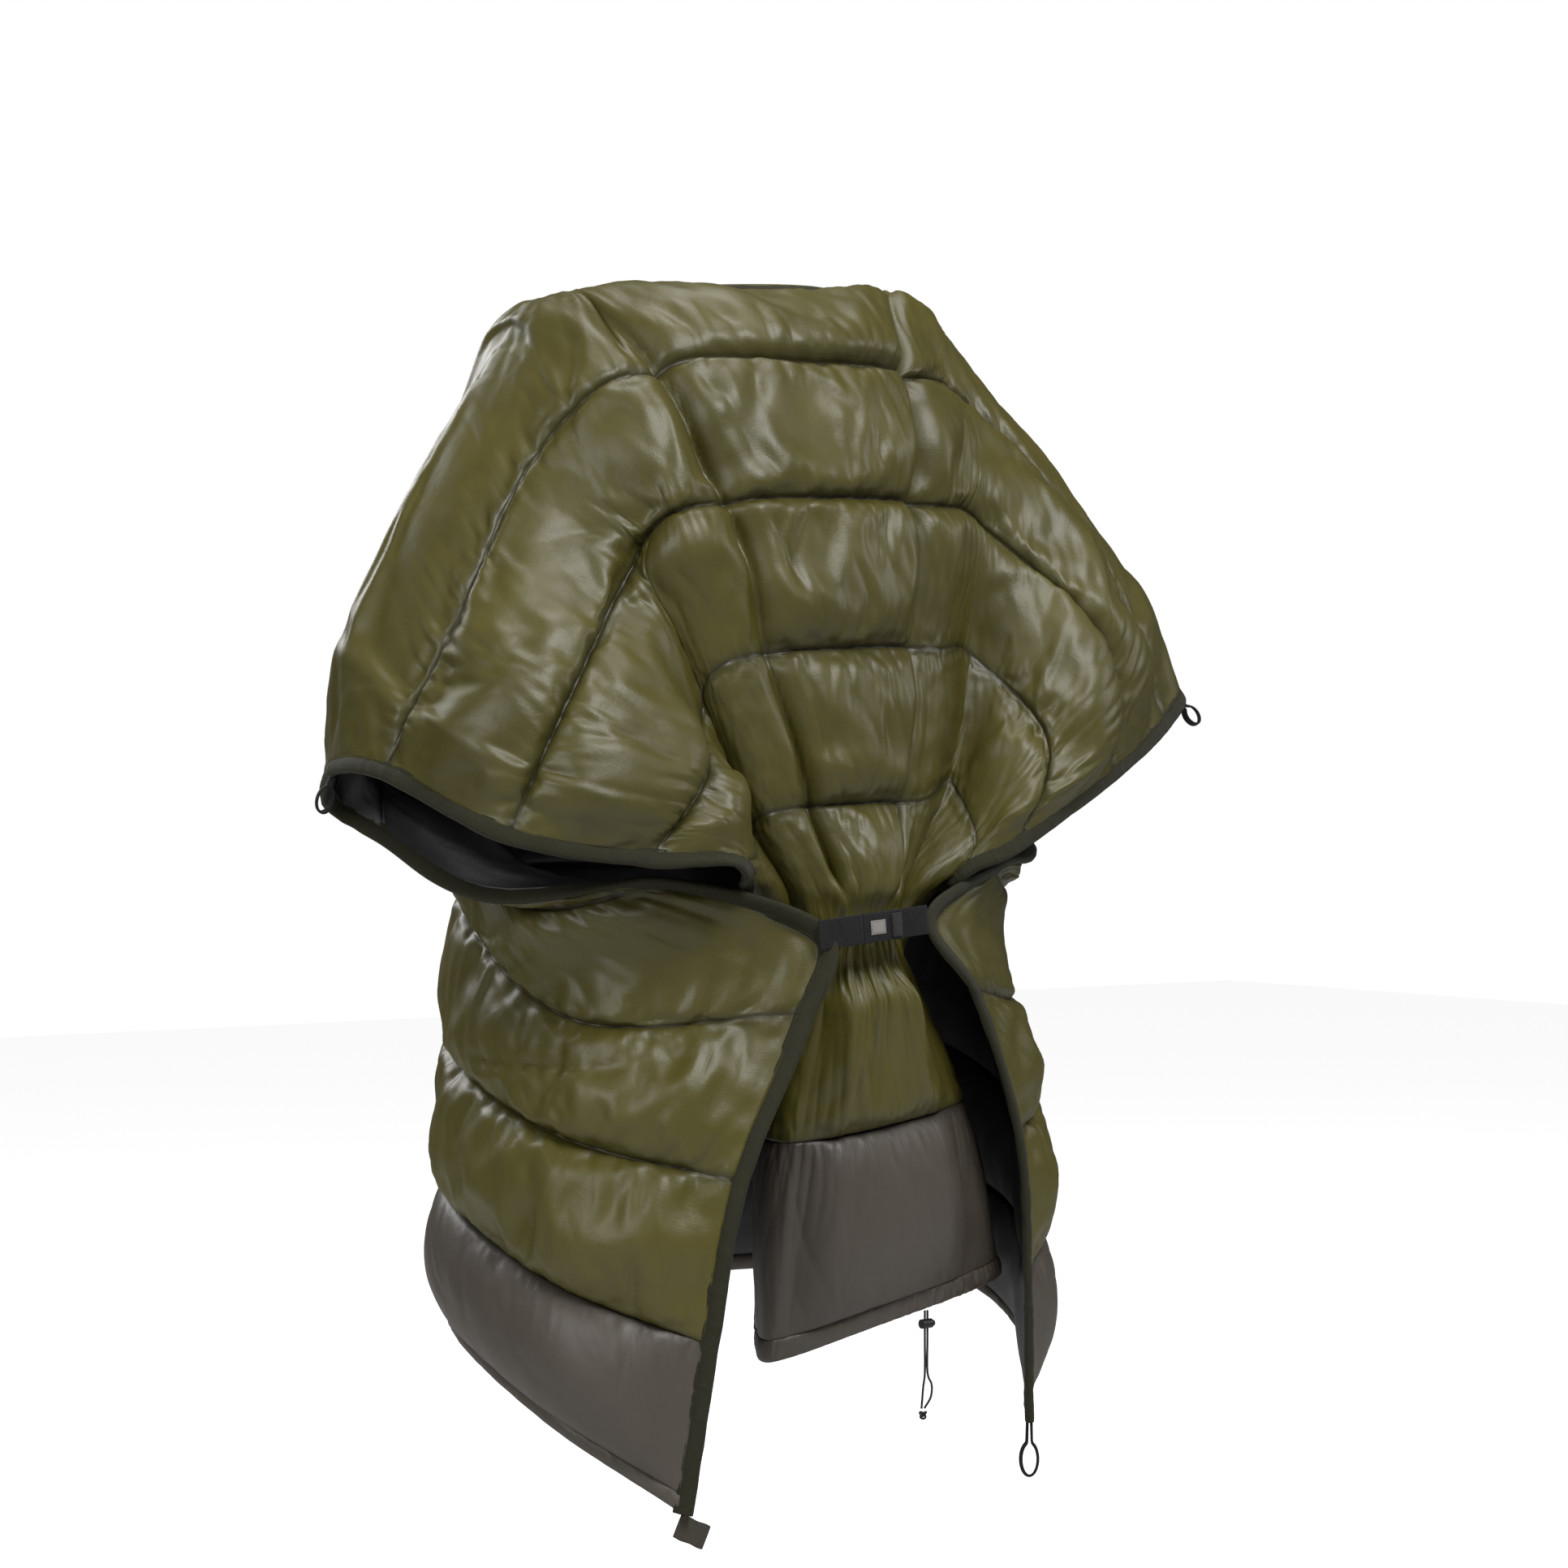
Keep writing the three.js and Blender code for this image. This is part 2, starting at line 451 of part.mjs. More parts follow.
const loopGap = 1.5;
const corner = (sign, v) => {
  const edge = edgeFrame(sign, v);
  return edge.point.clone().addScaledVector(edge.out, bindingGap + bindingWidth + loopGap);
};
const wingLoop = { neckWidth: 9, neckLength: 8, eyeWidth: 18, eyeHeight: 27, wall: 3, width: 7 };
const cornerLoop = { neckWidth: 9, neckLength: 20, eyeWidth: 20, eyeHeight: 36, wall: 3.4, width: 8 };
webbingLoop('left_wing_loop', corner(1, 0), [0, -0.9, 0], wingLoop);
webbingLoop('right_wing_loop', corner(-1, 0), [0, 0.35, 0], wingLoop);
const hemCorner = drape(halfWidth, hemEnd, 1);
webbingLoop('left_corner_loop', hemCorner.add(new THREE.Vector3(0, 0, -loopGap)), [0, 0, -0.6], cornerLoop);

const tabLength = 34;
const tabWidth = 22;
const tab = new THREE.Group();
tab.position.copy(drape(-halfWidth, hemEnd, 1)).add(new THREE.Vector3(2, 0, -loopGap));
tab.rotation.set(0, THREE.MathUtils.degToRad(26), 0);
quilt.add(tab);
const tabMesh = addPiece('right_corner_tab', new THREE.BoxGeometry(tabLength, strapThickness, tabWidth), 'tab', tab);
tabMesh.position.set(tabLength / 2, 0, -tabWidth / 2);

// ---- hem drawcord, its lock and its knot ----------------------------------------------------------
const cordU = 84;                   // across the quilt, where the drawcord leaves the front hem channel
const cordExit = drape(cordU, -hemEnd, -1);
const strandApart = 3.2;
const strandTop = -clearance - 2;
const straightRun = 62;             // the lock travels along this stretch
const knotDrop = 98;
const cordGroup = new THREE.Group();
cordGroup.position.copy(cordExit);
quilt.add(cordGroup);
function strand(name, points) {
  const curve = new THREE.CatmullRomCurve3(points.map(([x, y, z]) => new THREE.Vector3(x, y, z)), false, 'centripetal');
  const section = new THREE.Shape();
  section.absarc(0, 0, cordDiameter / 2, 0, 2 * Math.PI, false);
  const geometry = new THREE.ExtrudeGeometry(section, { steps: 20, curveSegments: 4, extrudePath: curve });
  addPiece(name, geometry, 'cord', cordGroup);
}
const side = strandApart / 2;
strand('drawcord_strand_a', [[-side, 0, strandTop], [-side, 0, -30], [-side, 0, -straightRun],
  [-side - 2, 0, -straightRun - 14], [-side - 4, 0, -knotDrop + 2]]);
strand('drawcord_strand_b', [[side, 0, strandTop], [side, 0, -30], [side, 0, -straightRun],
  [side + 5, 0, -straightRun - 12], [side + 4, 0, -straightRun - 24], [-side - 0.5, 0, -knotDrop + 2]]);
const knotRadius = 5;
const knot = addPiece('cord_end_knot', new THREE.SphereGeometry(knotRadius, 10, 7), 'cord', cordGroup);
knot.scale.set(1.15, 0.9, 1);
knot.position.set(-side - 2.2, 0, -knotDrop - knotRadius + 1);

function solidOf(geometry) {
  const bare = geometry.clone();
  bare.deleteAttribute('normal');
  bare.deleteAttribute('uv');
  const merged = mergeVertices(bare, 1e-4);
  return new wasm.Manifold(new wasm.Mesh({
    numProp: 3,
    vertProperties: new Float32Array(merged.attributes.position.array),
    triVerts: new Uint32Array(merged.index.array),
  }));
}

function geometryOf(solid) {
  const mesh = solid.getMesh();
  const geometry = new THREE.BufferGeometry();
  geometry.setAttribute('position', new THREE.Float32BufferAttribute(Array.from(mesh.vertProperties), 3));
  geometry.setIndex(Array.from(mesh.triVerts));
  return geometry;
}

// The lock's barrel lies along X. Both strands pass down through it, and a sprung button in it grips them.
const lock = new THREE.Group();
lock.position.set(0, 0, -15);
cordGroup.add(lock);
const lockRadius = 4.6;
const lockLength = 12;
const boreRadius = 3.2;
const boreDepth = 11;
const buttonProud = 3;
const buttonTravel = 2;
const springGap = 0.3;
const slotLength = strandApart + cordDiameter + 1;
const slotWidth = cordDiameter + 1;
const alongX = (geometry) => geometry.rotateZ(-Math.PI / 2);
const barrel = solidOf(alongX(new THREE.CylinderGeometry(lockRadius, lockRadius, lockLength, 14)));
const bore = solidOf(alongX(new THREE.CylinderGeometry(boreRadius, boreRadius, boreDepth + 1, 12))
  .translate((lockLength - boreDepth + 1) / 2, 0, 0));
const cordSlot = solidOf(new THREE.BoxGeometry(slotLength, slotWidth, 4 * lockRadius));
addPiece('cord_lock_barrel', geometryOf(barrel.subtract(bore).subtract(cordSlot)), 'lock', lock);
const boreFloor = lockLength / 2 - boreDepth;
const springLength = 0.6;
const spring = addPiece('lock_spring', alongX(new THREE.CylinderGeometry(2.2, 2.2, springLength, 10)), 'spring', lock);
spring.position.set(boreFloor + clearance + springLength / 2, 0, 0);
const buttonStart = boreFloor + clearance + springLength + springGap + buttonTravel;
const buttonEnd = lockLength / 2 + buttonProud;
const buttonLength = buttonEnd - buttonStart;
const stem = solidOf(alongX(new THREE.CylinderGeometry(boreRadius - clearance, boreRadius - clearance, buttonLength, 12))
  .translate((buttonStart + buttonEnd) / 2, 0, 0));
const eyeFrom = -slotLength / 2;
const eyeTo = slotLength / 2 + buttonTravel;
const buttonEye = solidOf(new THREE.BoxGeometry(eyeTo - eyeFrom, slotWidth, 4 * lockRadius)
  .translate((eyeFrom + eyeTo) / 2, 0, 0));
addPiece('cord_lock_button', geometryOf(stem.subtract(buttonEye)), 'lock', lock);

export default quilt;
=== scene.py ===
"""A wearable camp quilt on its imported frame: baffled shell, lining, bindings, belt, loops and hem drawcord.

Everything is in the frame of the CAD model, in metres. Lengths on the flat quilt are in millimetres, as they
are in the part's own source, and they are divided by 1000 when a point becomes a vertex.
"""
import bmesh
import bpy
import math
import numpy as np
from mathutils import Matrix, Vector


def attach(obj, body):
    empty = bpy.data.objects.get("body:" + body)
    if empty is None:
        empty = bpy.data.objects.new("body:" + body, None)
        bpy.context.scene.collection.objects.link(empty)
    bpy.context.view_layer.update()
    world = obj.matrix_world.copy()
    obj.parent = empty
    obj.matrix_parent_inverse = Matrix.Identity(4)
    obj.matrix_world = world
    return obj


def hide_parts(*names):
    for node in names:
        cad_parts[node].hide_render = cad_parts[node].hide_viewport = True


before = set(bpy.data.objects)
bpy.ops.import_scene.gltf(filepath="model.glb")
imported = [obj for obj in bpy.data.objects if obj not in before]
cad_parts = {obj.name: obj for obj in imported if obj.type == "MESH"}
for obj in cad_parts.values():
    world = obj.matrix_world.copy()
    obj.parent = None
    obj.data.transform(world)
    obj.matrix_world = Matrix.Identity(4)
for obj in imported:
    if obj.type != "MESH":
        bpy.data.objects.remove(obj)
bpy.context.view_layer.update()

# ---- the part's own dimensions, in millimetres ---------------------------------------------------------
# UNDER_ARM_START alone differs: the cloth starts to thin a little further out than the solid fill does.
QUILT_WIDTH = 1400
QUILT_LENGTH = 2100
SLIT_LENGTH = 400
COLLAR_CHAMBER = 105
END_PANEL = 170
NECK_BINDING_WIDTH = 8
SHOULDER_RISE = 80
EDGE_TAPER = 90
TUCK_START = 100
TUCK_RISE = 80
UNDER_ARM_START = 300
FOLD_END = 400
BELT_PINCH = 60
HEM_CHANNEL_WIDTH = 20
HALF_WIDTH = QUILT_WIDTH / 2
HALF_SLIT = SLIT_LENGTH / 2
HALF_LENGTH = QUILT_LENGTH / 2
PITCH = (HALF_LENGTH - COLLAR_CHAMBER - END_PANEL) / 5
SEAMS = [COLLAR_CHAMBER + n * PITCH for n in range(6)]
ENDS = np.array(SEAMS + [HALF_LENGTH])
HEM_END = HALF_LENGTH + HEM_CHANNEL_WIDTH

GUIDE_ACROSS = [0, HALF_SLIT, 0.5 * HALF_WIDTH, 0.743 * HALF_WIDTH, HALF_WIDTH]
FRONT_ROWS = np.array([0, *SEAMS, HALF_LENGTH])
BELT_ROW = SEAMS[2] + 0.55 * PITCH
ARM_ROW = SEAMS[1] + 0.5 * PITCH
BACK_ROWS = np.array([0, *SEAMS[:2], ARM_ROW, SEAMS[2], BELT_ROW, *SEAMS[3:], HALF_LENGTH])

# Guide lines of the drape, one per distance across the quilt, with a point per row from the slit to the hem.
FRONT_MIDDLE = [
    [0, -75, 12], [0, -160, -76], [2, -198, -203], [4, -212, -342], [6, -222, -487], [0, -236, -612],
    [25, -215, -790], [45, -195, -960]]
FRONT_NEAR = [
    [[-182, 0, -14], [-190, -135, -92], [-175, -200, -220], [-140, -212, -358], [-95, -218, -494],
     [-48, -228, -612], [-60, -205, -800], [-62, -178, -985]],
    [[-256, 0, -100], [-278, -98, -182], [-212, -160, -275], [-158, -194, -402], [-104, -195, -512],
     [-56, -204, -610], [-58, -152, -800], [-46, -128, -985]],
    [[-345, 0, -248], [-360, -110, -330], [-312, -215, -400], [-191, -243, -468], [-130, -238, -534],
     [-66, -192, -610], [-22, -100, -800], [-4, -72, -985]],
    [[-426, 0, -450], [-420, -88, -455], [-368, -215, -510], [-251, -259, -531], [-162, -268, -539],
     [-81, -164, -610], [14, -50, -800], [30, -16, -985]]]
FRONT_FAR = [
    [[176, -8, 14], [118, -138, -76], [120, -180, -203], [108, -196, -340], [86, -206, -484],
     [40, -224, -606], [135, -190, -778], [185, -165, -942]],
    [[246, -26, -50], [214, -85, -84], [190, -148, -212], [172, -168, -342], [138, -180, -466],
     [54, -200, -602], [180, -135, -775], [232, -130, -936]],
    [[350, -60, -166], [322, -148, -222], [278, -222, -322], [210, -240, -425], [131, -233, -518],
     [66, -198, -602], [176, -72, -780], [222, -62, -940]],
    [[490, -110, -372], [426, -165, -404], [305, -225, -456], [165, -255, -520], [113, -229, -551],
     [98, -174, -600], [160, -15, -785], [196, 4, -945]]]
BACK_MIDDLE = [
    [0, 62, 30], [0, 118, -84], [0, 158, -250], [0, 160, -325], [0, 160, -400], [0, 160, -482],
     [0, 165, -550],
    [0, 175, -690], [0, 180, -830], [0, 182, -965]]
BACK_NEAR = [
    [[-182, 0, -14], [-196, 82, -100], [-192, 130, -262], [-186, 136, -335], [-182, 138, -405],
     [-176, 140, -488],
     [-180, 144, -556], [-185, 152, -695], [-190, 157, -838], [-192, 160, -968]],
    [[-256, 0, -100], [-280, 70, -196], [-282, 98, -365], [-270, 80, -437], [-262, 56, -502],
     [-252, 40, -560],
     [-252, 38, -612], [-262, 42, -738], [-270, 45, -868], [-274, 46, -980]],
    [[-345, 0, -248], [-352, 66, -340], [-335, 78, -445], [-289, -5, -509], [-272, -86, -580],
     [-244, -126, -640],
     [-244, -138, -686], [-262, -142, -790], [-274, -138, -920], [-280, -134, -1034]],
    [[-426, 0, -450], [-396, 72, -480], [-347, 54, -514], [-313, -78, -567], [-208, -196, -560],
     [-76, -262, -606],
     [-94, -264, -676], [-166, -264, -822], [-191, -254, -966], [-208, -242, -1100]]]
BACK_FAR = [
    [[176, -8, 14], [196, 76, -92], [192, 130, -258], [188, 135, -328], [184, 138, -402], [178, 140, -486],
     [182, 144, -554], [188, 154, -692], [194, 158, -834], [198, 160, -966]],
    [[246, -26, -50], [282, 58, -165], [286, 96, -345], [276, 80, -418], [268, 62, -490], [262, 40, -555],
     [264, 36, -608], [280, 36, -730], [292, 38, -860], [300, 38, -970]],
    [[350, -60, -166], [372, 26, -284], [358, 52, -415], [302, -6, -492], [266, -76, -572], [250, -112, -632],
     [254, -118, -680], [282, -100, -776], [298, -92, -900], [304, -86, -1012]],
    [[490, -110, -372], [442, -12, -418], [368, 16, -484], [310, -88, -534], [194, -186, -552],
     [58, -258, -596],
     [118, -248, -664], [196, -218, -810], [216, -206, -950], [226, -196, -1074]]]
WHOLE_ROWS = np.concatenate([-FRONT_ROWS[:0:-1], BACK_ROWS])
NEAR_GUIDES = [np.array(f[:0:-1] + b, float) for f, b in zip(FRONT_NEAR, BACK_NEAR)]
FAR_GUIDES = [np.array(f[:0:-1] + b, float) for f, b in zip(FRONT_FAR, BACK_FAR)]
ACROSS_KNOTS = np.array([-u for u in GUIDE_ACROSS[:0:-1]] + GUIDE_ACROSS, float)


def curve_at(knots, values, x):
    """Cubic Hermite through values at uneven knots, each slope the rise between its neighbours over their
    distance, and straight past either end. values is (knots, ...), x is (n,), and the result is (n, ...)."""
    knots, values, x = np.asarray(knots, float), np.asarray(values, float), np.asarray(x, float)
    last = len(knots) - 1
    before, after = np.maximum(np.arange(last + 1) - 1, 0), np.minimum(np.arange(last + 1) + 1, last)
    shape = (-1,) + (1,) * (values.ndim - 1)
    slopes = (values[after] - values[before]) / (knots[after] - knots[before]).reshape(shape)
    i = np.clip(np.searchsorted(knots, x, side="left") - 1, 0, last - 1)
    width = (knots[i + 1] - knots[i]).reshape(shape)
    t = ((x - knots[i]) / (knots[i + 1] - knots[i])).reshape(shape)
    inside = ((2 * t ** 3 - 3 * t ** 2 + 1) * values[i] + (t ** 3 - 2 * t ** 2 + t) * width * slopes[i]
              + (3 * t ** 2 - 2 * t ** 3) * values[i + 1] + (t ** 3 - t ** 2) * width * slopes[i + 1])
    low = values[i] + slopes[i] * t * width
    high = values[i + 1] + slopes[i + 1] * (t - 1) * width
    return np.where(t < 0, low, np.where(t > 1, high, inside))


def drape(us, vs, side):
    """The quilt's middle surface in millimetres, (v, u, 3): guide lines read at each v, then a curve across
    them read at each u. At v = 0 the side says which lip of the slit a point is on."""
    us, vs = np.asarray(us, float), np.asarray(vs, float)
    front = curve_at(FRONT_ROWS, FRONT_MIDDLE, np.abs(vs))
    back = curve_at(BACK_ROWS, BACK_MIDDLE, np.abs(vs))
    own = np.where((np.where(vs == 0, side, vs) < 0)[:, None], front, back)
    share = np.minimum(1, np.abs(vs) / COLLAR_CHAMBER)[:, None]
    blended = share * own + (1 - share) * (front + back) / 2
    near = [curve_at(WHOLE_ROWS, guide, vs) for guide in NEAR_GUIDES]
    far = [curve_at(WHOLE_ROWS, guide, vs) for guide in FAR_GUIDES]
    lips = curve_at(ACROSS_KNOTS, np.array([*near[::-1], own, *far]), us)
    joined = curve_at(ACROSS_KNOTS, np.array([*near[::-1], blended, *far]), us)
    points = np.where((np.abs(us) <= HALF_SLIT)[:, None, None], lips, joined)
    return points.transpose(1, 0, 2)


def unit(a):
    return a / np.maximum(np.linalg.norm(a, axis=-1, keepdims=True), 1e-9)


def outward(us, vs, side):
    """Outward normal of the middle surface: the step across crossed with the step along. On a lip of the slit
    the step along is taken on that lip's own side."""
    us, vs = np.asarray(us, float), np.asarray(vs, float)
    step = 4.0
    across = drape(us + step, vs, side) - drape(us - step, vs, side)
    along = drape(us, vs + step, side) - drape(us, vs - step, side)
    lip_v = np.full_like(vs, np.sign(side) * 2 * step)
    lip = drape(us, lip_v + step, side) - drape(us, lip_v - step, side)
    on_lip = (np.abs(us) <= HALF_SLIT)[None, :, None] & (np.abs(vs) < 2 * step)[:, None, None]
    return unit(np.cross(across, np.where(on_lip, lip, along)))


def smooth(t):
    t = np.clip(t, 0, 1)
    return t * t * (3 - 2 * t)


def noise(x, y, seed):
    """Smooth noise from -1 to 1: seeded random values at whole numbers, blended with smooth steps between."""
    table = np.random.default_rng(seed).uniform(-1, 1, (128, 128))
    xi, yi = np.floor(x).astype(int), np.floor(y).astype(int)
    fx, fy = smooth(x - xi), smooth(y - yi)
    xa, xb, ya, yb = xi % 128, (xi + 1) % 128, yi % 128, (yi + 1) % 128
    low = table[xa, ya] * (1 - fx) + table[xb, ya] * fx
    high = table[xa, yb] * (1 - fx) + table[xb, yb] * fx
    return low * (1 - fy) + high * fy


def creased(n):
    """Turns smooth noise into rounded ridges that meet in narrow creases where the noise crosses zero."""
    return 1 - 2 * (1 - np.abs(n)) ** 3


# ---- how far the cloth stands off the middle surface ---------------------------------------------------
def crown(share, power=0.5):
    return np.sin(np.pi * np.clip(share, 0, 1)) ** power


def chamber_of(vs):
    """For each v: the chamber's number, counted from the first seam, and the share of the way through it."""
    reach = np.abs(vs)
    n = np.clip(np.searchsorted(ENDS, reach, side="right") - 1, 0, len(ENDS) - 2)
    return n, (reach - ENDS[n]) / (ENDS[n + 1] - ENDS[n])


def seam_distance(vs):
    """Distance in millimetres from each v to its nearest seam, and that seam's number."""
    gaps = np.abs(np.abs(vs)[:, None] - np.array(SEAMS)[None, :])
    return gaps.min(1), gaps.argmin(1)


def tucked(us, vs):
    beside = smooth((np.abs(us) - TUCK_START) / TUCK_RISE)[None, :]
    below = smooth((-vs - SEAMS[2]) / PITCH)[:, None]
    folded = beside * (1 - smooth((np.abs(us) - FOLD_END) / TUCK_RISE))[None, :]
    folded = folded * smooth((-vs - SEAMS[1]) / PITCH)[:, None]
    return np.maximum(folded, beside * below)


def crown_share(us, vs):
    """0 on a seam and 1 in the middle of a chamber; over the shoulders the two collars run into one."""
    n, share = chamber_of(vs)
    plain = crown(share)[:, None]
    reach = np.abs(vs)
    collar = crown((reach - NECK_BINDING_WIDTH) / (SEAMS[0] - NECK_BINDING_WIDTH))[:, None]
    shoulder = crown((vs + SEAMS[0]) / (2 * SEAMS[0]))[:, None]
    past = smooth((np.abs(us) - HALF_SLIT) / SHOULDER_RISE)[None, :]
    return np.where((reach >= SEAMS[0])[:, None], plain, (1 - past) * collar + past * shoulder)


def loft(us, vs, rise, seam):
    """Offset from the middle surface: the seam's, plus the rise times the chamber's crown, less where the
    quilt meets its edges, is tucked in, lies under an arm or is pinched by the belt."""
    to_edge = smooth((HALF_WIDTH - np.abs(us)) / EDGE_TAPER + 0.1)[None, :]
    pinch = np.where(vs < 0, smooth(np.abs(-vs - SEAMS[4]) / BELT_PINCH), 1)[:, None]
    beyond_arm = smooth((np.abs(us) - UNDER_ARM_START) / TUCK_RISE)[None, :]
    under_arm = np.where(vs > 0, 1 - smooth(np.abs(vs - BELT_ROW) / PITCH), 0)[:, None] * beyond_arm
    high = rise * to_edge * (0.35 + 0.65 * pinch) * (1 - 0.85 * tucked(us, vs)) * (1 - 0.8 * under_arm)
    return seam + high * crown_share(us, vs)


# The two valleys beside the front panel: distance across the quilt for each distance along it, in
# millimetres.
VALLEY_ROWS = np.array([20, 105, 185, 260, 415, 570, 680])
NEAR_VALLEY = np.array([-206, -176, -158, -146, -126, -110, -96])
FAR_VALLEY = np.array([208, 176, 150, 136, 122, 108, 96])


def valleys(us, vs):
    """Depth of the folds between the front panel and the two wings: steep on the panel's side, gentle on the
    wing's, from the slit's ends down to the belt."""
    down = -vs
    fade = (smooth((down - 10) / 90) * smooth((700 - down) / 60))[:, None]
    total = np.zeros((len(vs), len(us)))
    for line, sign in ((NEAR_VALLEY, -1), (FAR_VALLEY, 1)):
        away = sign * (us[None, :] - curve_at(VALLEY_ROWS, line, down)[:, None])
        away = away + 4 * np.sin(down / 38)[:, None]
        total += 38 * fade * np.where(away < 0, np.exp(-np.abs(away) / 13), np.exp(-np.abs(away) / 26))
    return total


# Creases that the cloth folds into: from (u, v) to (u, v), how deep and how wide, in millimetres.
CREASES = [
    (-118, -270, -86, -370, 9, 13), (-104, -420, -84, -540, 9, 12), (-92, -590, -62, -700, 8, 11),
    (-205, -20, -120, -100, 7, 12), (-200, -22, -60, -96, 5, 10), (-210, -24, -196, -130, 8, 13),
    (206, -16, 176, -100, 8, 12), (198, -24, 128, -98, 5, 10), (-60, -118, 20, -185, 4, 11),
    (-150, -120, -110, -240, 5, 12), (70, -130, 30, -190, 3, 10), (-300, -190, -240, -260, 5, 12),
    (-420, -150, -330, -240, 5, 14), (300, -150, 250, -250, 6, 12), (-250, -300, -200, -405, 6, 12),
    (-560, -180, -470, -210, 4, 12), (470, -190, 400, -250, 5, 13), (-330, 60, -260, 200, 5, 14),
    (330, 60, 270, 210, 5, 14), (-120, 130, -90, 240, 4, 14), (110, 290, 140, 400, 4, 13),
    (-160, 450, -120, 560, 5, 14), (60, 600, 20, 710, 4, 13), (-500, 640, -380, 690, 6, 13),
    (-620, 600, -430, 660, 5, 12), (-640, 640, -520, 760, 5, 13), (600, 640, 480, 700, 5, 13),
    (-60, -760, -20, -860, 5, 12), (40, -750, 60, -850, 5, 12), (0, -740, 10, -800, 4, 9)]


def crease_depth(us, vs):
    """Sum of V grooves: each is deepest on its line and fades with the distance across and at both ends."""
    uu, vv = np.meshgrid(us, vs)
    total = np.zeros_like(uu)
    for u0, v0, u1, v1, deep, wide in CREASES:
        du, dv = u1 - u0, v1 - v0
        length = math.hypot(du, dv)
        along = ((uu - u0) * du + (vv - v0) * dv) / length ** 2
        across = ((uu - u0) * dv - (vv - v0) * du) / length + 6 * np.sin(3 * along)
        fade = smooth(along / 0.3) * smooth((1 - along) / 0.3)
        total += deep * fade * np.exp(-np.abs(across) / wide)
    return total


def puckers(us, vs, strength=1.0):
    """Small folds square to each seam. They are noise that is stretched away from the seam, strongest a
    little way from the stitches, and they lean and widen as they fade out."""
    away, seam = seam_distance(vs)
    uu, dd = np.meshgrid(us, away)
    which = (seam + np.where(vs < 0, 20, 0))[:, None] * 9.7
    lean = noise(uu / 70, which + 0 * uu, 3) * dd / 22
    far = noise(uu / 24 + 0.6 * lean, dd / 90 + which, 5)
    fine = noise(uu / 11.5 + lean, dd / 60 + which, 4)
    fade = np.exp(-dd / (20 + 9 * noise(uu / 40, which + 0 * uu, 6)))
    wide = np.exp(-dd / 46)
    lift = 0.28 + 0.72 * smooth(dd / 9)
    return strength * lift * (2.7 * creased(fine) * fade + 2.3 * creased(far) * wide)


def gather(us, vs):
    """The front is drawn together under the belt: deep folds that run down from it and widen."""
    uu, vv = np.meshgrid(us, vs)
    below = -vv - SEAMS[4]
    depth = np.where(below > 0, np.exp(-np.abs(below) / 48), np.exp(-np.abs(below) / 16))
    middle = 1 - smooth((np.abs(uu) - 170) / 60)
    folds = noise(uu / (15 + 0.06 * np.abs(below)) + 0.2, below / 90 + 40, 8)
    return np.where(vv < 0, 5.0 * depth * middle * creased(folds), 0)


def rumple(us, vs, seed):
    """Slow lumps of uneven filling, with a few long soft wrinkles that run aslant over them."""
    uu, vv = np.meshgrid(us, vs)
    lumps = 1.1 * noise(uu / 95, vv / 60, seed) + 0.35 * noise(uu / 36, vv / 30, seed + 1)
    aslant = noise((uu + 0.7 * vv) / 34, (vv - 0.7 * uu) / 120, seed + 2)
    return lumps + 0.7 * creased(aslant)


def slit_rays(us, vs):
    """Wrinkles that fan out from each end of the slit."""
    uu, vv = np.meshgrid(us, vs)
    total = np.zeros_like(uu)
    for end, seed in ((-HALF_SLIT, 21), (HALF_SLIT, 22)):
        distance = np.hypot(uu - end, vv)
        angle = np.arctan2(vv, uu - end)
        rays = creased(noise(angle * 5.5, distance / 160, seed))
        total += 3.0 * np.exp(-distance / 85) * smooth(distance / 25) * rays
    return total


def stations(pitch_open, pitch_seam, first, last):
    """Distances along one half, closer together near each seam."""
    marks = [first]
    seams = [s for s in SEAMS if first < s < last]
    stops = [first, *seams, last]
    for low, high in zip(stops[:-1], stops[1:]):
        span = high - low
        count = max(4, round(span / pitch_open + 26 / pitch_seam))
        t = np.linspace(0, 1, count + 1)[1:]
        eased = t - 0.085 * np.sin(2 * np.pi * t)
        marks.extend(low + span * eased)
    return np.array(marks)


# ---- meshes ------------------------------------------------------------------------------------------
def new_mesh(name, points, faces, uv=None, layers=None, flat=False):
    """A mesh object at the origin from an (n, 3) array in metres and an (m, 3 or 4) array of corners."""
    mesh = bpy.data.meshes.new(name)
    points = np.ascontiguousarray(points, np.float32)
    faces = [np.asarray(f, np.int32) for f in (faces if isinstance(faces, list) else [faces])]
    faces = [f for f in faces if len(f)]
    corners = np.concatenate([f.ravel() for f in faces])
    sizes = np.concatenate([np.full(len(f), f.shape[1], np.int32) for f in faces])
    mesh.vertices.add(len(points))
    mesh.vertices.foreach_set("co", points.ravel())
    mesh.loops.add(len(corners))
    mesh.loops.foreach_set("vertex_index", corners)
    mesh.polygons.add(len(sizes))
    mesh.polygons.foreach_set("loop_start", np.concatenate([[0], np.cumsum(sizes)[:-1]]).astype(np.int32))
    mesh.update(calc_edges=True)
    mesh.validate()
    mesh.polygons.foreach_set("use_smooth", np.full(len(mesh.polygons), not flat))
    if uv is not None:
        layer = mesh.uv_layers.new(name="cloth")
        layer.data.foreach_set("uv", np.asarray(uv, np.float32)[corners].ravel())
    for label, values in (layers or {}).items():
        mesh.attributes.new(label, "FLOAT", "POINT").data.foreach_set("value", np.asarray(values, np.float32))
    mesh.update()
    obj = bpy.data.objects.new(name, mesh)
    bpy.context.scene.collection.objects.link(obj)
    return obj


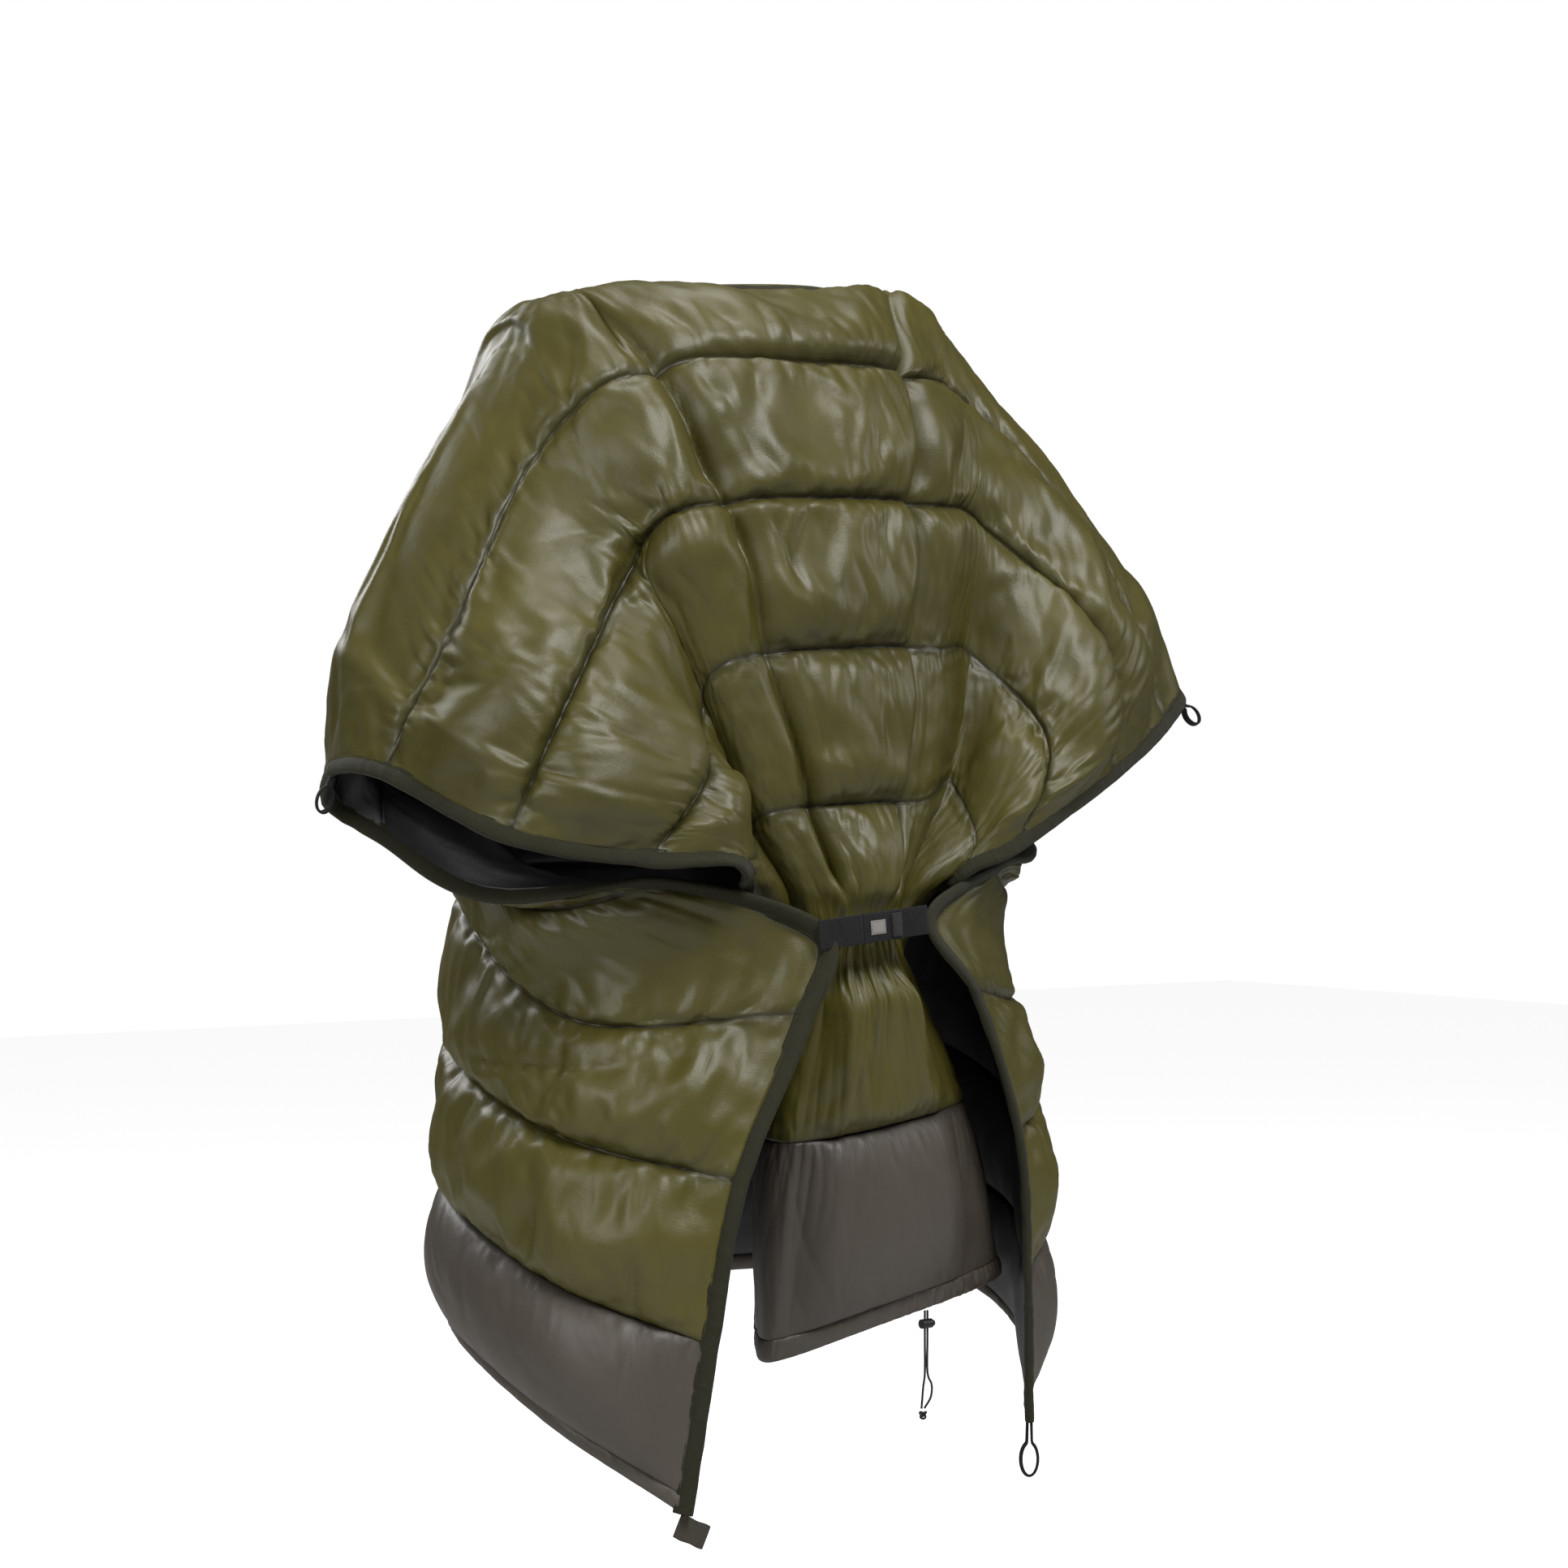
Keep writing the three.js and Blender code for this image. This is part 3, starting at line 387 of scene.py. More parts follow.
def grid_faces(rows, columns, start=0):
    r, c = np.meshgrid(np.arange(rows - 1), np.arange(columns - 1), indexing="ij")
    a = (start + r * columns + c).ravel()
    return np.stack([a, a + 1, a + columns + 1, a + columns], 1)


def tube_faces(rings, around, capped=True):
    """Quads between rings of a closed section, with a fan on each end from the ring's own points."""
    r, c = np.meshgrid(np.arange(rings - 1), np.arange(around), indexing="ij")
    a, b = (r * around + c).ravel(), (r * around + (c + 1) % around).ravel()
    quads = np.stack([a, b, b + around, a + around], 1)
    if not capped:
        return [quads]
    k = np.arange(around)
    first = np.stack([np.full(around, rings * around), (k + 1) % around, k], 1)
    last = (rings - 1) * around
    end = np.stack([np.full(around, rings * around + 1), last + k, last + (k + 1) % around], 1)
    return [quads, first, end]


def add_tube(name, rings, uv_scale=1.0):
    """A closed tube from an array of sections (rings, around, 3) in millimetres, capped at both ends."""
    count, around = rings.shape[:2]
    points = np.concatenate([rings.reshape(-1, 3), rings[:1].mean(1), rings[-1:].mean(1)]) / 1000
    middle = rings.mean(1)
    run = np.concatenate([[0], np.cumsum(np.linalg.norm(np.diff(middle, axis=0), axis=1))])
    girth = np.linalg.norm(np.diff(rings[count // 2], axis=0), axis=1)
    round_it = np.concatenate([[0], np.cumsum(girth)])
    uv = np.stack(np.meshgrid(round_it, run), -1).reshape(-1, 2)
    uv = np.concatenate([uv, [[0, run[0]], [0, run[-1]]]]) / 1000 * uv_scale
    obj = new_mesh(name, points, tube_faces(count, around), uv=uv)
    fix_normals(obj)
    return obj


def fix_normals(obj):
    """Turns every face of a closed mesh outwards."""
    bm = bmesh.new()
    bm.from_mesh(obj.data)
    bmesh.ops.recalc_face_normals(bm, faces=bm.faces)
    bm.to_mesh(obj.data)
    bm.free()


def rounded(width, thick, corner=0.42, steps=5):
    """Points of a flat section with rounded ends: a super-ellipse, thicker at its two long edges'
    selvedge."""
    t = np.linspace(0, 2 * np.pi, 4 * steps, endpoint=False)
    c, s = np.cos(t), np.sin(t)
    x = np.sign(c) * np.abs(c) ** corner * width / 2
    y = np.sign(s) * np.abs(s) ** (corner * 1.3) * thick / 2
    return np.stack([x, y], 1)


def sweep(path, side, up, section):
    """Carries a section along a path: each point is the path's, plus its x times side, plus its y times
    up."""
    section = np.broadcast_to(section, (len(path),) + section.shape[-2:])
    return path[:, None] + side[:, None] * section[..., :1] + up[:, None] * section[..., 1:]


def along_of(path):
    return unit(np.gradient(path, axis=0))


def thread(name, path, up, pitch=3.6, radius=0.28):
    """Stitches along a path: short six-sided grains lying on the cloth, one per pitch."""
    run = np.concatenate([[0], np.cumsum(np.linalg.norm(np.diff(path, axis=0), axis=1))])
    at = np.arange(pitch / 2, run[-1], pitch)
    spot = np.stack([np.interp(at, run, path[:, k]) for k in range(3)], 1)
    tangent = unit(np.stack([np.interp(at, run, along_of(path)[:, k]) for k in range(3)], 1))
    lift = unit(np.stack([np.interp(at, run, up[:, k]) for k in range(3)], 1))
    flank = unit(np.cross(tangent, lift))
    half = 0.36 * pitch
    turn = np.arange(6) * np.pi / 3
    ring = np.cos(turn)[:, None] * flank[:, None] + np.sin(turn)[:, None] * lift[:, None]
    points = [spot - tangent * half, *[spot + radius * ring[:, k] for k in range(6)], spot + tangent * half]
    points = np.stack(points, 1)
    k = np.arange(6)
    this, following = 1 + k, 1 + (k + 1) % 6
    one = np.concatenate([np.stack([0 * k, this, following], 1), np.stack([0 * k + 7, following, this], 1)])
    faces = (one[None] + 8 * np.arange(len(at))[:, None, None]).reshape(-1, 3)
    return new_mesh(name, points.reshape(-1, 3) / 1000, faces)


# ---- materials ---------------------------------------------------------------------------------------
class Number:
    """A shader value. Python's operators on it add the Math nodes that work them out."""

    def __init__(self, tree, socket):
        self.tree, self.socket = tree, socket

    def math(self, operation, *others):
        node = self.tree.nodes.new("ShaderNodeMath")
        node.operation = operation
        for slot, value in zip(node.inputs, (self, *others)):
            if isinstance(value, Number):
                self.tree.links.new(value.socket, slot)
            else:
                slot.default_value = value
        return Number(self.tree, node.outputs[0])

    def reflected(self, operation, other):
        node = self.tree.nodes.new("ShaderNodeMath")
        node.operation = operation
        node.inputs[0].default_value = other
        self.tree.links.new(self.socket, node.inputs[1])
        return Number(self.tree, node.outputs[0])

    def __add__(self, other): return self.math("ADD", other)
    def __sub__(self, other): return self.math("SUBTRACT", other)
    def __mul__(self, other): return self.math("MULTIPLY", other)
    def __truediv__(self, other): return self.math("DIVIDE", other)
    def __pow__(self, other): return self.math("POWER", other)
    def __radd__(self, other): return self.reflected("ADD", other)
    def __rsub__(self, other): return self.reflected("SUBTRACT", other)
    def __rmul__(self, other): return self.reflected("MULTIPLY", other)
    def __rtruediv__(self, other): return self.reflected("DIVIDE", other)


class Finish:
    """A material under construction, and the one method that adds any other node to it."""

    def __init__(self, name):
        self.material = bpy.data.materials.new(name)
        self.material.use_nodes = True
        self.tree = self.material.node_tree
        self.shader = next(n for n in self.tree.nodes if n.type == "BSDF_PRINCIPLED")

    def node(self, kind, output=0, settings=None, **values):
        node = self.tree.nodes.new("ShaderNode" + kind)
        for name, value in (settings or {}).items():
            if name == "stops":
                for n, (place, colour) in enumerate(value):
                    element = node.color_ramp.elements[n] if n < 2 else node.color_ramp.elements.new(place)
                    element.position, element.color = place, colour
            else:
                setattr(node, name, value)
        for name, value in values.items():
            slot = node.inputs[int(name[1:])] if name[0] == "_" else node.inputs[name.replace("_", " ")]
            if isinstance(value, Number):
                self.tree.links.new(value.socket, slot)
            else:
                slot.default_value = value
        return Number(self.tree, node.outputs[output])

    def set(self, **values):
        for name, value in values.items():
            slot = self.shader.inputs[name.replace("_", " ")]
            if isinstance(value, Number):
                self.tree.links.new(value.socket, slot)
            else:
                slot.default_value = value
        return self

    def noise(self, scale, detail=3.0, roughness=0.55, distortion=0.0):
        return self.node("TexNoise", 0, Vector=self.node("TexCoord", 3), Scale=scale, Detail=detail,
                         Roughness=roughness, Distortion=distortion)

    def bands(self, direction, uv, scale, distortion=0.0):
        return self.node("TexWave", 1, {"wave_type": "BANDS", "bands_direction": direction}, Vector=uv,
                         Scale=scale, Distortion=distortion)

    def mix(self, share, low, high):
        return self.node("Mix", 2, {"data_type": "RGBA"}, _0=share, _6=low, _7=high)

    def bump(self, height, distance, strength):
        return self.node("Bump", 0, Height=height, Distance=distance, Strength=strength)


def colour(r, g, b):
    """Linear colour from the eight-bit values of a paint chip."""
    line = [((c / 255 + 0.055) / 1.055) ** 2.4 if c > 10 else c / 255 / 12.92 for c in (r, g, b)]
    return (*line, 1.0)


RIPSTOP_SCALE = 95.0


def nylon(name, deep, main, lit, roughness, crinkle=1.0, coat=0.0):
    """Thin calendered nylon over loose filling: uneven tone, lighter with painted light where a single layer
    hangs free, fine crinkles that follow the cloth, darker with painted shade in the seams, with a faint
    rip-stop grid."""
    f = Finish(name)
    painted_seam_shade = f.node("Attribute", 2, {"attribute_name": "painted_seam_shade"})
    painted_backlight = f.node("Attribute", 2, {"attribute_name": "painted_backlight"})
    patches = f.noise(7.0, 4.0, 0.6)
    soft = f.noise(28.0, 3.0)
    tone = f.mix(patches * 0.8 + soft * 0.25, main, lit)
    # painted light: the colour is pulled towards the lit colour where light comes through a free-hanging
    # layer
    tone = f.mix(painted_backlight, tone, lit)
    # painted shade: the colour is pulled towards the deep colour in the seam grooves, where the chambers
    # shade them
    tone = f.mix(painted_seam_shade * 0.75, tone, deep)
    fine = f.noise(95.0, 4.0, 0.6, distortion=0.6)
    mid = f.noise(34.0, 3.0, 0.5, distortion=0.8)
    uv = f.node("UVMap", 0, {"uv_map": "cloth"})
    weave, weft = f.bands("X", uv, RIPSTOP_SCALE), f.bands("Y", uv, RIPSTOP_SCALE)
    height = fine * 0.5 * crinkle + mid * 0.45 * crinkle + (weave ** 8.0 + weft ** 8.0) * 0.03
    f.set(Base_Color=tone, Roughness=soft * 0.12 + (roughness - 0.06), Normal=f.bump(height, 0.0009, 0.7))
    f.set(Coat_Weight=coat, Coat_Roughness=0.35, Specular_IOR_Level=0.5)
    return f.material


def tape(name, dark, main, rough=0.8, rib=420.0):
    """Woven tape or webbing: ribs across its length, a little lint, and edges that catch the light."""
    f = Finish(name)
    uv = f.node("UVMap", 0, {"uv_map": "cloth"})
    ribs, warp = f.bands("Y", uv, rib, 0.4), f.bands("X", uv, rib * 0.7, 0.4)
    lint = f.noise(260.0, 3.0)
    worn = f.noise(40.0, 3.0)
    tone = f.mix(ribs * 0.5 + warp * 0.2 + worn * 0.35, dark, main)
    f.set(Base_Color=tone, Roughness=rough + lint * 0.12 - 0.06,
          Normal=f.bump(ribs * 0.6 + warp * 0.35 + lint * 0.35, 0.0006, 0.8))
    f.set(Sheen_Weight=0.04, Sheen_Roughness=0.5, Specular_IOR_Level=0.3)
    return f.material


def plain(name, dark, main, rough, scale=120.0, bump=0.0003, metallic=0.0):
    """Moulded or drawn material: a fine grain in its colour, gloss and surface."""
    f = Finish(name)
    grain = f.noise(scale, 4.0)
    cloud = f.noise(scale / 6, 3.0)
    f.set(Base_Color=f.mix(cloud * 0.6 + grain * 0.3, dark, main), Roughness=rough + grain * 0.12 - 0.06,
          Normal=f.bump(grain, bump, 0.6), Metallic=metallic)
    return f.material


# ---- camera, floor and light ---------------------------------------------------------------------------
def add_camera():
    """Level with the waist, 35 degrees to the wearer's right of the front, 3.2 m away."""
    target, back = np.array([0.048, -0.033, -0.469]), np.array([-0.5736, -0.8192, 0.0])
    data = bpy.data.cameras.new("view")
    data.sensor_width, data.lens = 36.0, 74.53
    camera = bpy.data.objects.new("view", data)
    camera.location = target + 3.2 * back
    camera.rotation_euler = (math.radians(90), 0, math.radians(-35))
    bpy.context.scene.collection.objects.link(camera)
    bpy.context.scene.camera = camera


def add_light(name, place, aim, size, power, tint=(1, 1, 1)):
    data = bpy.data.lights.new(name, "AREA")
    data.shape, data.size, data.energy, data.color = "DISK", size, power, tint
    light = bpy.data.objects.new(name, data)
    light.location = place
    light.rotation_euler = (Vector(aim) - Vector(place)).to_track_quat("-Z", "Y").to_euler()
    bpy.context.scene.collection.objects.link(light)


def add_studio():
    world = bpy.data.worlds.new("studio")
    bpy.context.scene.world = world
    world.use_nodes = True
    background = world.node_tree.nodes["Background"]
    background.inputs["Color"].default_value = (1.0, 1.0, 1.0, 1)
    seen = Number(world.node_tree, world.node_tree.nodes.new("ShaderNodeLightPath").outputs["Is Camera Ray"])
    world.node_tree.links.new((seen * 0.94 + 0.06).socket, background.inputs["Strength"])
    floor = new_mesh("floor", np.array([[-9, -9, -1.42], [9, -9, -1.42], [9, 9, -1.42], [-9, 9, -1.42]]),
                     np.array([[0, 1, 2, 3]]), flat=True)
    f = Finish("floor_paint")
    f.set(Base_Color=(0.6, 0.6, 0.6, 1), Roughness=0.9, Emission_Color=(1, 1, 1, 1))
    seen = Number(f.tree, f.tree.nodes.new("ShaderNodeLightPath").outputs["Is Camera Ray"])
    f.set(Emission_Strength=seen * 0.9)
    floor.data.materials.append(f.material)
    add_light("key", (-0.2, -2.5, 2.0), (0, -0.1, -0.4), 1.5, 112)
    add_light("near", (-3.1, -0.9, 0.6), (-0.1, 0, -0.5), 1.3, 44)
    add_light("far", (2.6, -1.6, 0.6), (0.1, 0, -0.5), 1.0, 20)
    add_light("behind", (-0.6, 2.9, 1.2), (0, 0, -0.4), 1.4, 50)
    add_light("top", (0.1, 0.1, 2.2), (0, 0, 0), 1.2, 30)


bpy.context.scene.view_settings.view_transform = "Standard"
add_camera()
add_studio()

SHELL = nylon("olive_nylon", colour(10, 10, 4), colour(52, 48, 16), colour(84, 78, 24), 0.47)
END_SHELL = nylon("charcoal_nylon", colour(22, 20, 18), colour(66, 60, 53), colour(82, 75, 66), 0.5)
LINING = nylon("black_nylon", colour(4, 4, 5), colour(15, 15, 16), colour(22, 22, 23), 0.5, 0.8, 0.0)
BINDING = tape("olive_tape", colour(18, 18, 9), colour(50, 48, 24), 0.72, 300.0)
WEBBING = tape("black_webbing", colour(6, 6, 7), colour(24, 24, 25), 0.78, 190.0)
FASTENER = tape("grey_tape", colour(24, 23, 22), colour(58, 56, 52), 0.85, 330.0)
TAB = tape("brown_grey_webbing", colour(40, 36, 30), colour(82, 76, 66), 0.8, 200.0)
LABEL = tape("pale_label", colour(120, 117, 110), colour(168, 165, 158), 0.7, 500.0)
CORD = plain("charcoal_cord", colour(20, 20, 21), colour(50, 50, 52), 0.75, 900.0, 0.0003)
LOCK = plain("black_plastic", colour(14, 14, 15), colour(26, 26, 27), 0.42, 300.0, 0.0001)
STEEL = plain("spring_steel", colour(150, 150, 152), colour(180, 180, 182), 0.35, 300.0, 0.00005, 1.0)
THREAD = plain("olive_thread", colour(24, 25, 10), colour(52, 52, 24), 0.7, 500.0)


def dress(obj, material, slot, body, *nodes):
    obj.data.materials.append(material)
    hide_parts(*nodes)
    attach(obj, body)
    return obj


# ---- hem drawcord: two free strands, a knot, and the lock on them ---------------------------------------
CORD_U = 84
CORD_DIAMETER = 2.2
cord_exit = drape([CORD_U], [-HEM_END], -1)[0, 0]


def cord_curve(name, points):
    """One open spline through the route's points, rounded by a curve that visits them in turn."""
    knots = np.arange(len(points))
    fine = curve_at(knots, np.array(points, float), np.linspace(0, len(points) - 1, 24)) + cord_exit
    data = bpy.data.curves.new(name, "CURVE")
    data.dimensions, data.bevel_depth, data.bevel_resolution = "3D", CORD_DIAMETER / 2000, 3
    data.use_fill_caps = True
    spline = data.splines.new("POLY")
    spline.points.add(len(fine) - 1)
    spline.points.foreach_set("co", np.concatenate([fine / 1000, np.ones((len(fine), 1))], 1).ravel())
    obj = bpy.data.objects.new(name, data)
    bpy.context.scene.collection.objects.link(obj)
    length = float(np.linalg.norm(np.diff(fine, axis=0), axis=1).sum()) / 1000
    return obj, fine[0] / 1000, length


HALF_APART = 1.6
STRAND_TOP = -2.3
cord_routes = {
    "drawcord_strand_a": [[-HALF_APART, 0, STRAND_TOP], [-HALF_APART, 0, -30], [-HALF_APART, 0, -62],
                          [-HALF_APART - 2, 0, -76], [-HALF_APART - 4, 0, -96]],
    "drawcord_strand_b": [[HALF_APART, 0, STRAND_TOP], [HALF_APART, 0, -30], [HALF_APART, 0, -62],
                          [HALF_APART + 5, 0, -74], [HALF_APART + 4, 0, -86], [-HALF_APART - 0.5, 0, -96]]}


def knot_mesh():
    """An overhand knot: a trefoil path, thick as the cord, flattened a little, that closes on itself."""
    t = np.linspace(0, 2 * np.pi, 96, endpoint=False)
    trefoil = [np.sin(t) + 2 * np.sin(2 * t), 0.9 * np.sin(3 * t), np.cos(t) - 2 * np.cos(2 * t)]
    path = np.stack(trefoil, 1) * 1.25
    path = path * [1.15, 1.35, 1.0] + cord_exit + [-HALF_APART - 2.2, 0, -102]
    tangent = unit(np.roll(path, -1, 0) - np.roll(path, 1, 0))
    side = unit(np.cross(tangent, path - path.mean(0)))
    up = np.cross(tangent, side)
    turn = np.linspace(0, 2 * np.pi, 10, endpoint=False)
    section = np.stack([np.cos(turn), np.sin(turn)], 1) * CORD_DIAMETER / 2
    rings = sweep(path, side, up, section)
    r, c = np.meshgrid(np.arange(96), np.arange(10), indexing="ij")
    a, b = r * 10 + c, r * 10 + (c + 1) % 10
    up_a, up_b = ((r + 1) % 96) * 10 + c, ((r + 1) % 96) * 10 + (c + 1) % 10
    faces = np.stack([a, b, up_b, up_a], -1).reshape(-1, 4)
    obj = new_mesh("drawcord_knot", rings.reshape(-1, 3) / 1000, faces)
    fix_normals(obj)
    return obj


strands = []
for strand_name, route in cord_routes.items():
    strand, start_point, strand_length = cord_curve(strand_name.replace("strand", "run"), route)
    strand.data.materials.append(CORD)
    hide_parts(strand_name)
    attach(strand, "quilt")
    strands.append((strand, start_point, strand_length))
drawcord_knot = dress(knot_mesh(), CORD, "cord", "quilt", "cord_end_knot")
for n, (strand, start_point, strand_length) in enumerate(strands):
    [drawcord_knot] if n == 0 else []

# ---- the quilt's outer cloth ----------------------------------------------------------------------------
OUTER_RISE, OUTER_SEAM = 25.0, 2.2
INNER_RISE, INNER_SEAM = 12.0, 2.2
CLOTH_EDGE = HALF_WIDTH - 1.5
PANEL_SEAM = SEAMS[5]
WRINKLE_CAP = 9.0
SHELL_THICKNESS, LINING_THICKNESS = 0.6, 0.5


def half_grid(us, reach, side, offset_of):
    """Points of one half's cloth (v, u, 3) in millimetres, with its v list, and its normals."""
    vs = side * reach
    base, normal = drape(us, vs, side), outward(us, vs, side)
    return base + normal * offset_of(us, vs)[..., None], normal, vs


def outer_offset(us, vs):
    """The plain puffed outer surface."""
    return loft(us, vs, OUTER_RISE, OUTER_SEAM)


def outer_detail(us, vs):
    """What is added to the puffed surface: folds at the seams and under the belt, lumps, rays and creases."""
    soft = crown_share(us, vs)
    calm = (1 - 0.75 * tucked(us, vs)) * (0.3 + 0.7 * smooth((HALF_WIDTH - np.abs(us)) / 40))[None, :]
    seam_folds = puckers(us, vs) * (0.35 + 0.65 * soft)
    return calm * (seam_folds + rumple(us, vs, 11) * soft + slit_rays(us, vs) * soft + gather(us, vs)
                   - crease_depth(us, vs) * (0.25 + 0.75 * soft) - valleys(us, vs) * (0.45 + 0.55 * soft))


def slit_faces(rows, columns, us):
    """Faces of two halves that share their first row beyond the slit's ends. The front's rows come first,
    then the back's, both counted from the slit outwards."""
    front = np.arange(rows * columns).reshape(rows, columns)
    back = front + rows * columns
    shared = np.abs(us) >= HALF_SLIT
    back[0, shared] = front[0, shared]
    quads = []
    for grid, flip in ((front, True), (back, False)):
        q = np.stack([grid[:-1, :-1], grid[:-1, 1:], grid[1:, 1:], grid[1:, :-1]], -1).reshape(-1, 4)
        quads.append(q[:, ::-1] if not flip else q)
    return np.concatenate(quads)


def wrinkle(points, faces, pinned, cap, frames=16):
    """Lets the cloth find its own wrinkles: it is held on its seams and edges, is cut a little too large
    for the space between them, and is pressed outwards. No point moves further than cap, in millimetres."""
    obj = new_mesh("loose_cloth", points / 1000, faces)
    group = obj.vertex_groups.new(name="sewn")
    order = np.round(pinned, 1)
    for weight in np.unique(order):
        if weight > 0:
            group.add(np.flatnonzero(order == weight).tolist(), float(weight), "REPLACE")
    cloth = obj.modifiers.new("cloth", "CLOTH")
    s = cloth.settings
    s.quality, s.mass, s.air_damping = 4, 0.15, 2.0
    s.tension_stiffness = s.compression_stiffness = 25
    s.shear_stiffness, s.bending_stiffness = 12, 0.05
    s.vertex_group_mass = "sewn"
    s.pin_stiffness = 1.0
    s.shrink_min = -0.035
    s.use_pressure, s.uniform_pressure_force = True, 2.2
    s.effector_weights.gravity = 0
    cloth.collision_settings.use_collision = False
    scene = bpy.context.scene
    cloth.point_cache.frame_start, cloth.point_cache.frame_end = 1, frames
    for number in range(1, frames + 1):
        scene.frame_set(number)
    settled = obj.evaluated_get(bpy.context.evaluated_depsgraph_get()).to_mesh()
    moved = np.empty(len(points) * 3, np.float32)
    settled.vertices.foreach_get("co", moved)
    moved = moved.reshape(-1, 3) * 1000 - points
    scene.frame_set(1)
    mesh = obj.data
    bpy.data.objects.remove(obj)
    bpy.data.meshes.remove(mesh)
    length = np.linalg.norm(moved, axis=1, keepdims=True)
    return moved * np.minimum(1, cap / np.maximum(length, 1e-6))


def finer(values, v_from, v_to, u_from, u_to):
    """Reads a coarse (v, u, 3) field on a finer grid, straight between its points, and evens it a little."""
    rows = curve_at(v_from, values, v_to)
    out = curve_at(u_from, rows.transpose(1, 0, 2), u_to).transpose(1, 0, 2)
    for _ in range(2):
        out[1:-1] = (out[:-2] + 2 * out[1:-1] + out[2:]) / 4
        out[:, 1:-1] = (out[:, :-2] + 2 * out[:, 1:-1] + out[:, 2:]) / 4
    return out


def painted_shade_in_seams(us, vs):
    """1 in a seam's groove and 0 on the open cloth: the share of painted shade that darkens the colour
    between the chambers.
    """
    away, _ = seam_distance(vs)
    return np.broadcast_to(np.exp(-away / 5)[:, None], (len(vs), len(us))).copy()


def painted_backlight_share(us, vs):
    """Painted light where a single layer hangs free and light comes through: the skirt and the apron, and
    less at the wings."""
    uu, vv = np.meshgrid(us, vs)
    skirt = smooth((np.abs(vv) - 590) / 120)
    return np.clip(0.55 * skirt + 0.15 * noise(uu / 120, vv / 90, 31), 0, 1)


us_coarse = np.linspace(-CLOTH_EDGE, CLOTH_EDGE, 177)
reach_coarse = np.concatenate([[0.0], stations(9.0, 8.0, 5.0, PANEL_SEAM)])
us_fine = np.linspace(-CLOTH_EDGE, CLOTH_EDGE, 401)
reach_fine = np.concatenate([[0.0], stations(6.5, 2.7, 2.0, PANEL_SEAM)])

coarse = [half_grid(us_coarse, reach_coarse, side, outer_offset) for side in (-1, 1)]
coarse_points = np.concatenate([c[0].reshape(-1, 3) for c in coarse])
coarse_faces = slit_faces(len(reach_coarse), len(us_coarse), us_coarse)
pins = []
for side in (-1, 1):
    vs = side * reach_coarse
    away, _ = seam_distance(vs)
    on_seam = (1 - smooth(away / 9))[:, None]
    at_edge = (1 - smooth((CLOTH_EDGE - np.abs(us_coarse)) / 12))[None, :]
    on_lip = (reach_coarse < 9)[:, None] & (np.abs(us_coarse) <= HALF_SLIT + 12)[None, :]
    sewn = np.maximum(np.maximum(on_seam, at_edge), on_lip)
    pins.append(np.maximum(sewn, 0.5 * tucked(us_coarse, vs)).ravel())
drift = wrinkle(coarse_points, coarse_faces, np.concatenate(pins), WRINKLE_CAP)
drift = drift.reshape(2, len(reach_coarse), len(us_coarse), 3)
# The two halves share their first row on the shoulders, where only the front's copy is in the faces.
shoulder = np.abs(us_coarse) >= HALF_SLIT
drift[1, 0, shoulder] = drift[0, 0, shoulder]

halves, painted_seam_shades, painted_backlights, uvs = [], [], [], []
for index, side in enumerate((-1, 1)):
    points, normal, vs = half_grid(us_fine, reach_fine, side, outer_offset)
    moved = finer(drift[index], reach_coarse, reach_fine, us_coarse, us_fine)
    detail = outer_detail(us_fine, vs)
    if index:
        detail[0, np.abs(us_fine) >= HALF_SLIT] = shoulder_detail
    else:
        shoulder_detail = detail[0, np.abs(us_fine) >= HALF_SLIT]
    halves.append(points + moved + normal * detail[..., None])
    # painted shade in the seam grooves, kept as a point attribute
    painted_seam_shades.append(painted_shade_in_seams(us_fine, vs).ravel())
    # painted light through the free-hanging skirt and apron, kept as a point attribute
    painted_backlights.append(painted_backlight_share(us_fine, vs).ravel())
    uvs.append(np.stack(np.meshgrid(us_fine, vs), -1).reshape(-1, 2) / 1000)
shell_points = np.concatenate([h.reshape(-1, 3) for h in halves]) / 1000
shell_faces = slit_faces(len(reach_fine), len(us_fine), us_fine)
used = np.zeros(len(shell_points), bool)
used[shell_faces] = True
renumber = np.cumsum(used) - 1
# point attributes: painted shade in the seam grooves, and painted light through the skirt and apron
quilt_shell = new_mesh("quilt_shell", shell_points[used], renumber[shell_faces],
                       uv=np.concatenate(uvs)[used],
                       layers={"painted_seam_shade": np.concatenate(painted_seam_shades)[used], "painted_backlight": np.concatenate(painted_backlights)[used]})


def thicken(obj, millimetres):
    """Gives an open cloth its thickness, on its inner side."""
    solid = obj.modifiers.new("thickness", "SOLIDIFY")
    solid.thickness, solid.offset = millimetres / 1000, -1.0
    return obj


CHAMBERS = ["chest", "midriff", "waist", "belt", "lap"]
thicken(quilt_shell, SHELL_THICKNESS)
CHAMBER_NODES = [f"{half}_fill_{c}" for half in ("front", "back") for c in CHAMBERS]
dress(quilt_shell, SHELL, "shell", "quilt", "front_shell", "back_shell", "front_collar_fill",
      "back_collar_fill", "right_shoulder_fill", "left_shoulder_fill", *CHAMBER_NODES)


